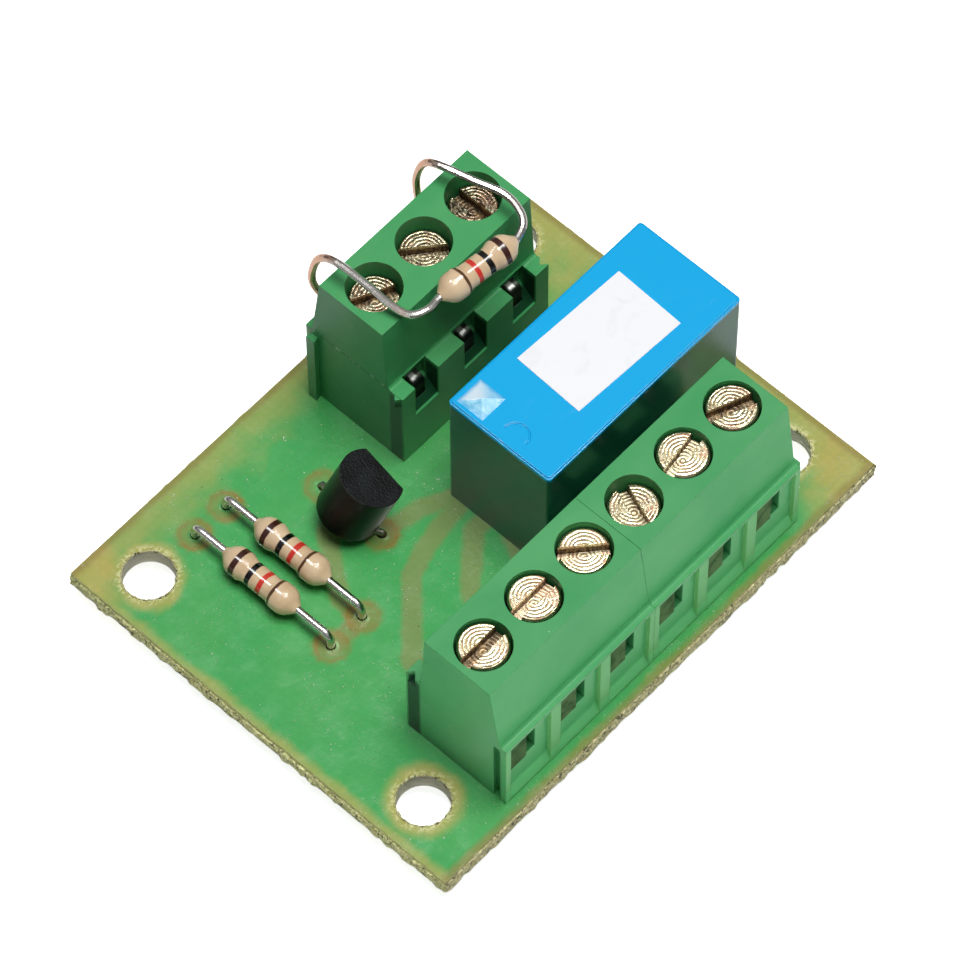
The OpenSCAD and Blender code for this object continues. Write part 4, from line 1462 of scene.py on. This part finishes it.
@dataclass(frozen=True)
class Lamp:
    """A square area lamp, in metres and watts."""

    name: str
    place: Point
    size: float
    power: float
    kind: LampKind = LampKind.SOFT
    target: Point = (0.0, 0.0, 0.008)

    def build(self) -> None:
        """Adds the lamp, facing the board or, at the table, facing up."""
        data = bpy.data.lights.new(self.name, "AREA")
        data.size = self.size
        data.energy = self.power
        lamp = bpy.data.objects.new(self.name, data)
        lamp.location = self.place
        table = self.kind is LampKind.TABLE
        way = Vector((0, 0, 1)) if table else Vector(self.target) - Vector(self.place)
        lamp.visible_camera = lamp.visible_glossy = not table
        lamp.visible_diffuse = self.kind is not LampKind.GLINT
        lamp.rotation_mode = "QUATERNION"
        lamp.rotation_quaternion = way.to_track_quat("-Z", "Y")
        bpy.context.scene.collection.objects.link(lamp)


@dataclass
class Stage:
    """Floor, light and camera."""

    azimuth: float = -137.05
    elevation: float = 60.10
    roll: float = -0.43
    distance: float = 454.5
    lens: float = 240.7
    sensor: float = 36.0
    aim: Point = (-0.5, -0.5, 3.0)
    aside: Place = (0.3754, 3.3297)
    floor_white: Colour = (0.86, 0.86, 0.86)
    # how brightly the floor shows to the camera, in gloss and through glass
    floor_glow: tuple[float, ...] = (0.86, 0.15, 0.15)
    sky: float = 0.08
    # the heights where the backdrop begins and ends, and its strength at each
    backdrop: tuple[float, ...] = (0.10, 0.75, 0.10, 0.42)
    lamps: tuple[Lamp, ...] = (
        Lamp("key", (0.03, -0.06, 0.60), 0.30, 3.5),
        Lamp("low_front", (0.0, -0.11, 0.001), 0.16, 0.115, LampKind.TABLE),
        Lamp("low_left", (-0.055, -0.025, 0.001), 0.05, 0.010, LampKind.TABLE),
        Lamp("glint_rear", (-0.058, 0.170, 0.467), 0.09, 1.0, LampKind.GLINT),
        Lamp("glint_right", (0.163, -0.021, 0.473), 0.09, 1.0, LampKind.GLINT),
    )

    def build(self) -> None:
        """Makes the floor, the lamps, the world and the camera."""
        self.floor()
        self.world()
        for lamp in self.lamps:
            lamp.build()
        self.camera()
        bpy.context.scene.view_settings.view_transform = "Standard"

    def floor(self) -> None:
        """Lays a white floor that shows as white and keeps the shadow."""
        bpy.ops.object.select_all(action="DESELECT")
        bpy.ops.mesh.primitive_plane_add(size=4.0, location=(0, 0, -0.0001))
        floor = bpy.context.object
        floor.name = "floor"
        bpy.ops.object.transform_apply(location=True)
        g = Graph("floor_white")
        camera, gloss, through = (ray * glow for ray, glow in zip(g.rays(), self.floor_glow))
        diffuse = g.node("ShaderNodeBsdfDiffuse", {}, self.floor_white)
        glow = g.node("ShaderNodeEmission", {}, (1.0, 1.0, 1.0), camera + gloss + through)
        both = g.node("ShaderNodeAddShader", {}, diffuse.outputs[0], glow.outputs[0])
        g.node("ShaderNodeOutputMaterial", {}, both.outputs[0])
        floor.data.materials.append(g.material)

    def world(self) -> None:
        """Makes a dim sky; the camera and gloss see a backdrop that rises from dark to pale."""
        world = bpy.data.worlds.new("studio")
        bpy.context.scene.world = world
        world.use_nodes = True
        nodes = Nodes(world.node_tree)
        way = nodes.node("ShaderNodeTexCoord", {}).outputs["Generated"]
        rise = nodes.node("ShaderNodeSeparateXYZ", {}, way).outputs["Z"]
        wall = nodes.add("ShaderNodeMapRange", {}, rise, *self.backdrop)
        seen = highest(nodes.rays())
        strength = nodes.add("ShaderNodeMix", {"data_type": "FLOAT"}, seen, A=self.sky, B=wall)
        sky = nodes.node("ShaderNodeBackground", {}, (1.0, 1.0, 1.0), strength)
        nodes.node("ShaderNodeOutputWorld", {}, sky.outputs[0])

    def camera(self) -> None:
        """Sets up a long lens above the front left corner."""
        a, e, r = (math.radians(v) for v in (self.azimuth, self.elevation, self.roll))
        back = Vector((math.cos(e) * math.cos(a), math.cos(e) * math.sin(a), math.sin(e)))
        right = Vector((-math.sin(a), math.cos(a), 0.0))
        up = back.cross(right)
        right, up = (
            right * math.cos(r) + up * math.sin(r),
            up * math.cos(r) - right * math.sin(r),
        )
        place = Vector(self.aim) + right * self.aside[0] + up * self.aside[1]
        place += back * self.distance
        data = bpy.data.cameras.new("camera")
        data.lens = self.lens
        data.sensor_width = self.sensor
        data.clip_start = 0.01
        camera = bpy.data.objects.new("camera", data)
        turn = Matrix((right, up, back)).transposed().to_4x4()
        camera.matrix_world = Matrix.Translation(place * MM) @ turn
        bpy.context.scene.collection.objects.link(camera)
        bpy.context.scene.camera = camera


def main() -> None:
    """Builds the assemblies in order."""
    logging.basicConfig(level=logging.INFO, format="%(name)s: %(message)s")
    Stage().build()
    CircuitBoard().build()
    Terminals().build()
    Relay().build()
    SmallParts().build()


if __name__ == "__main__":
    main()
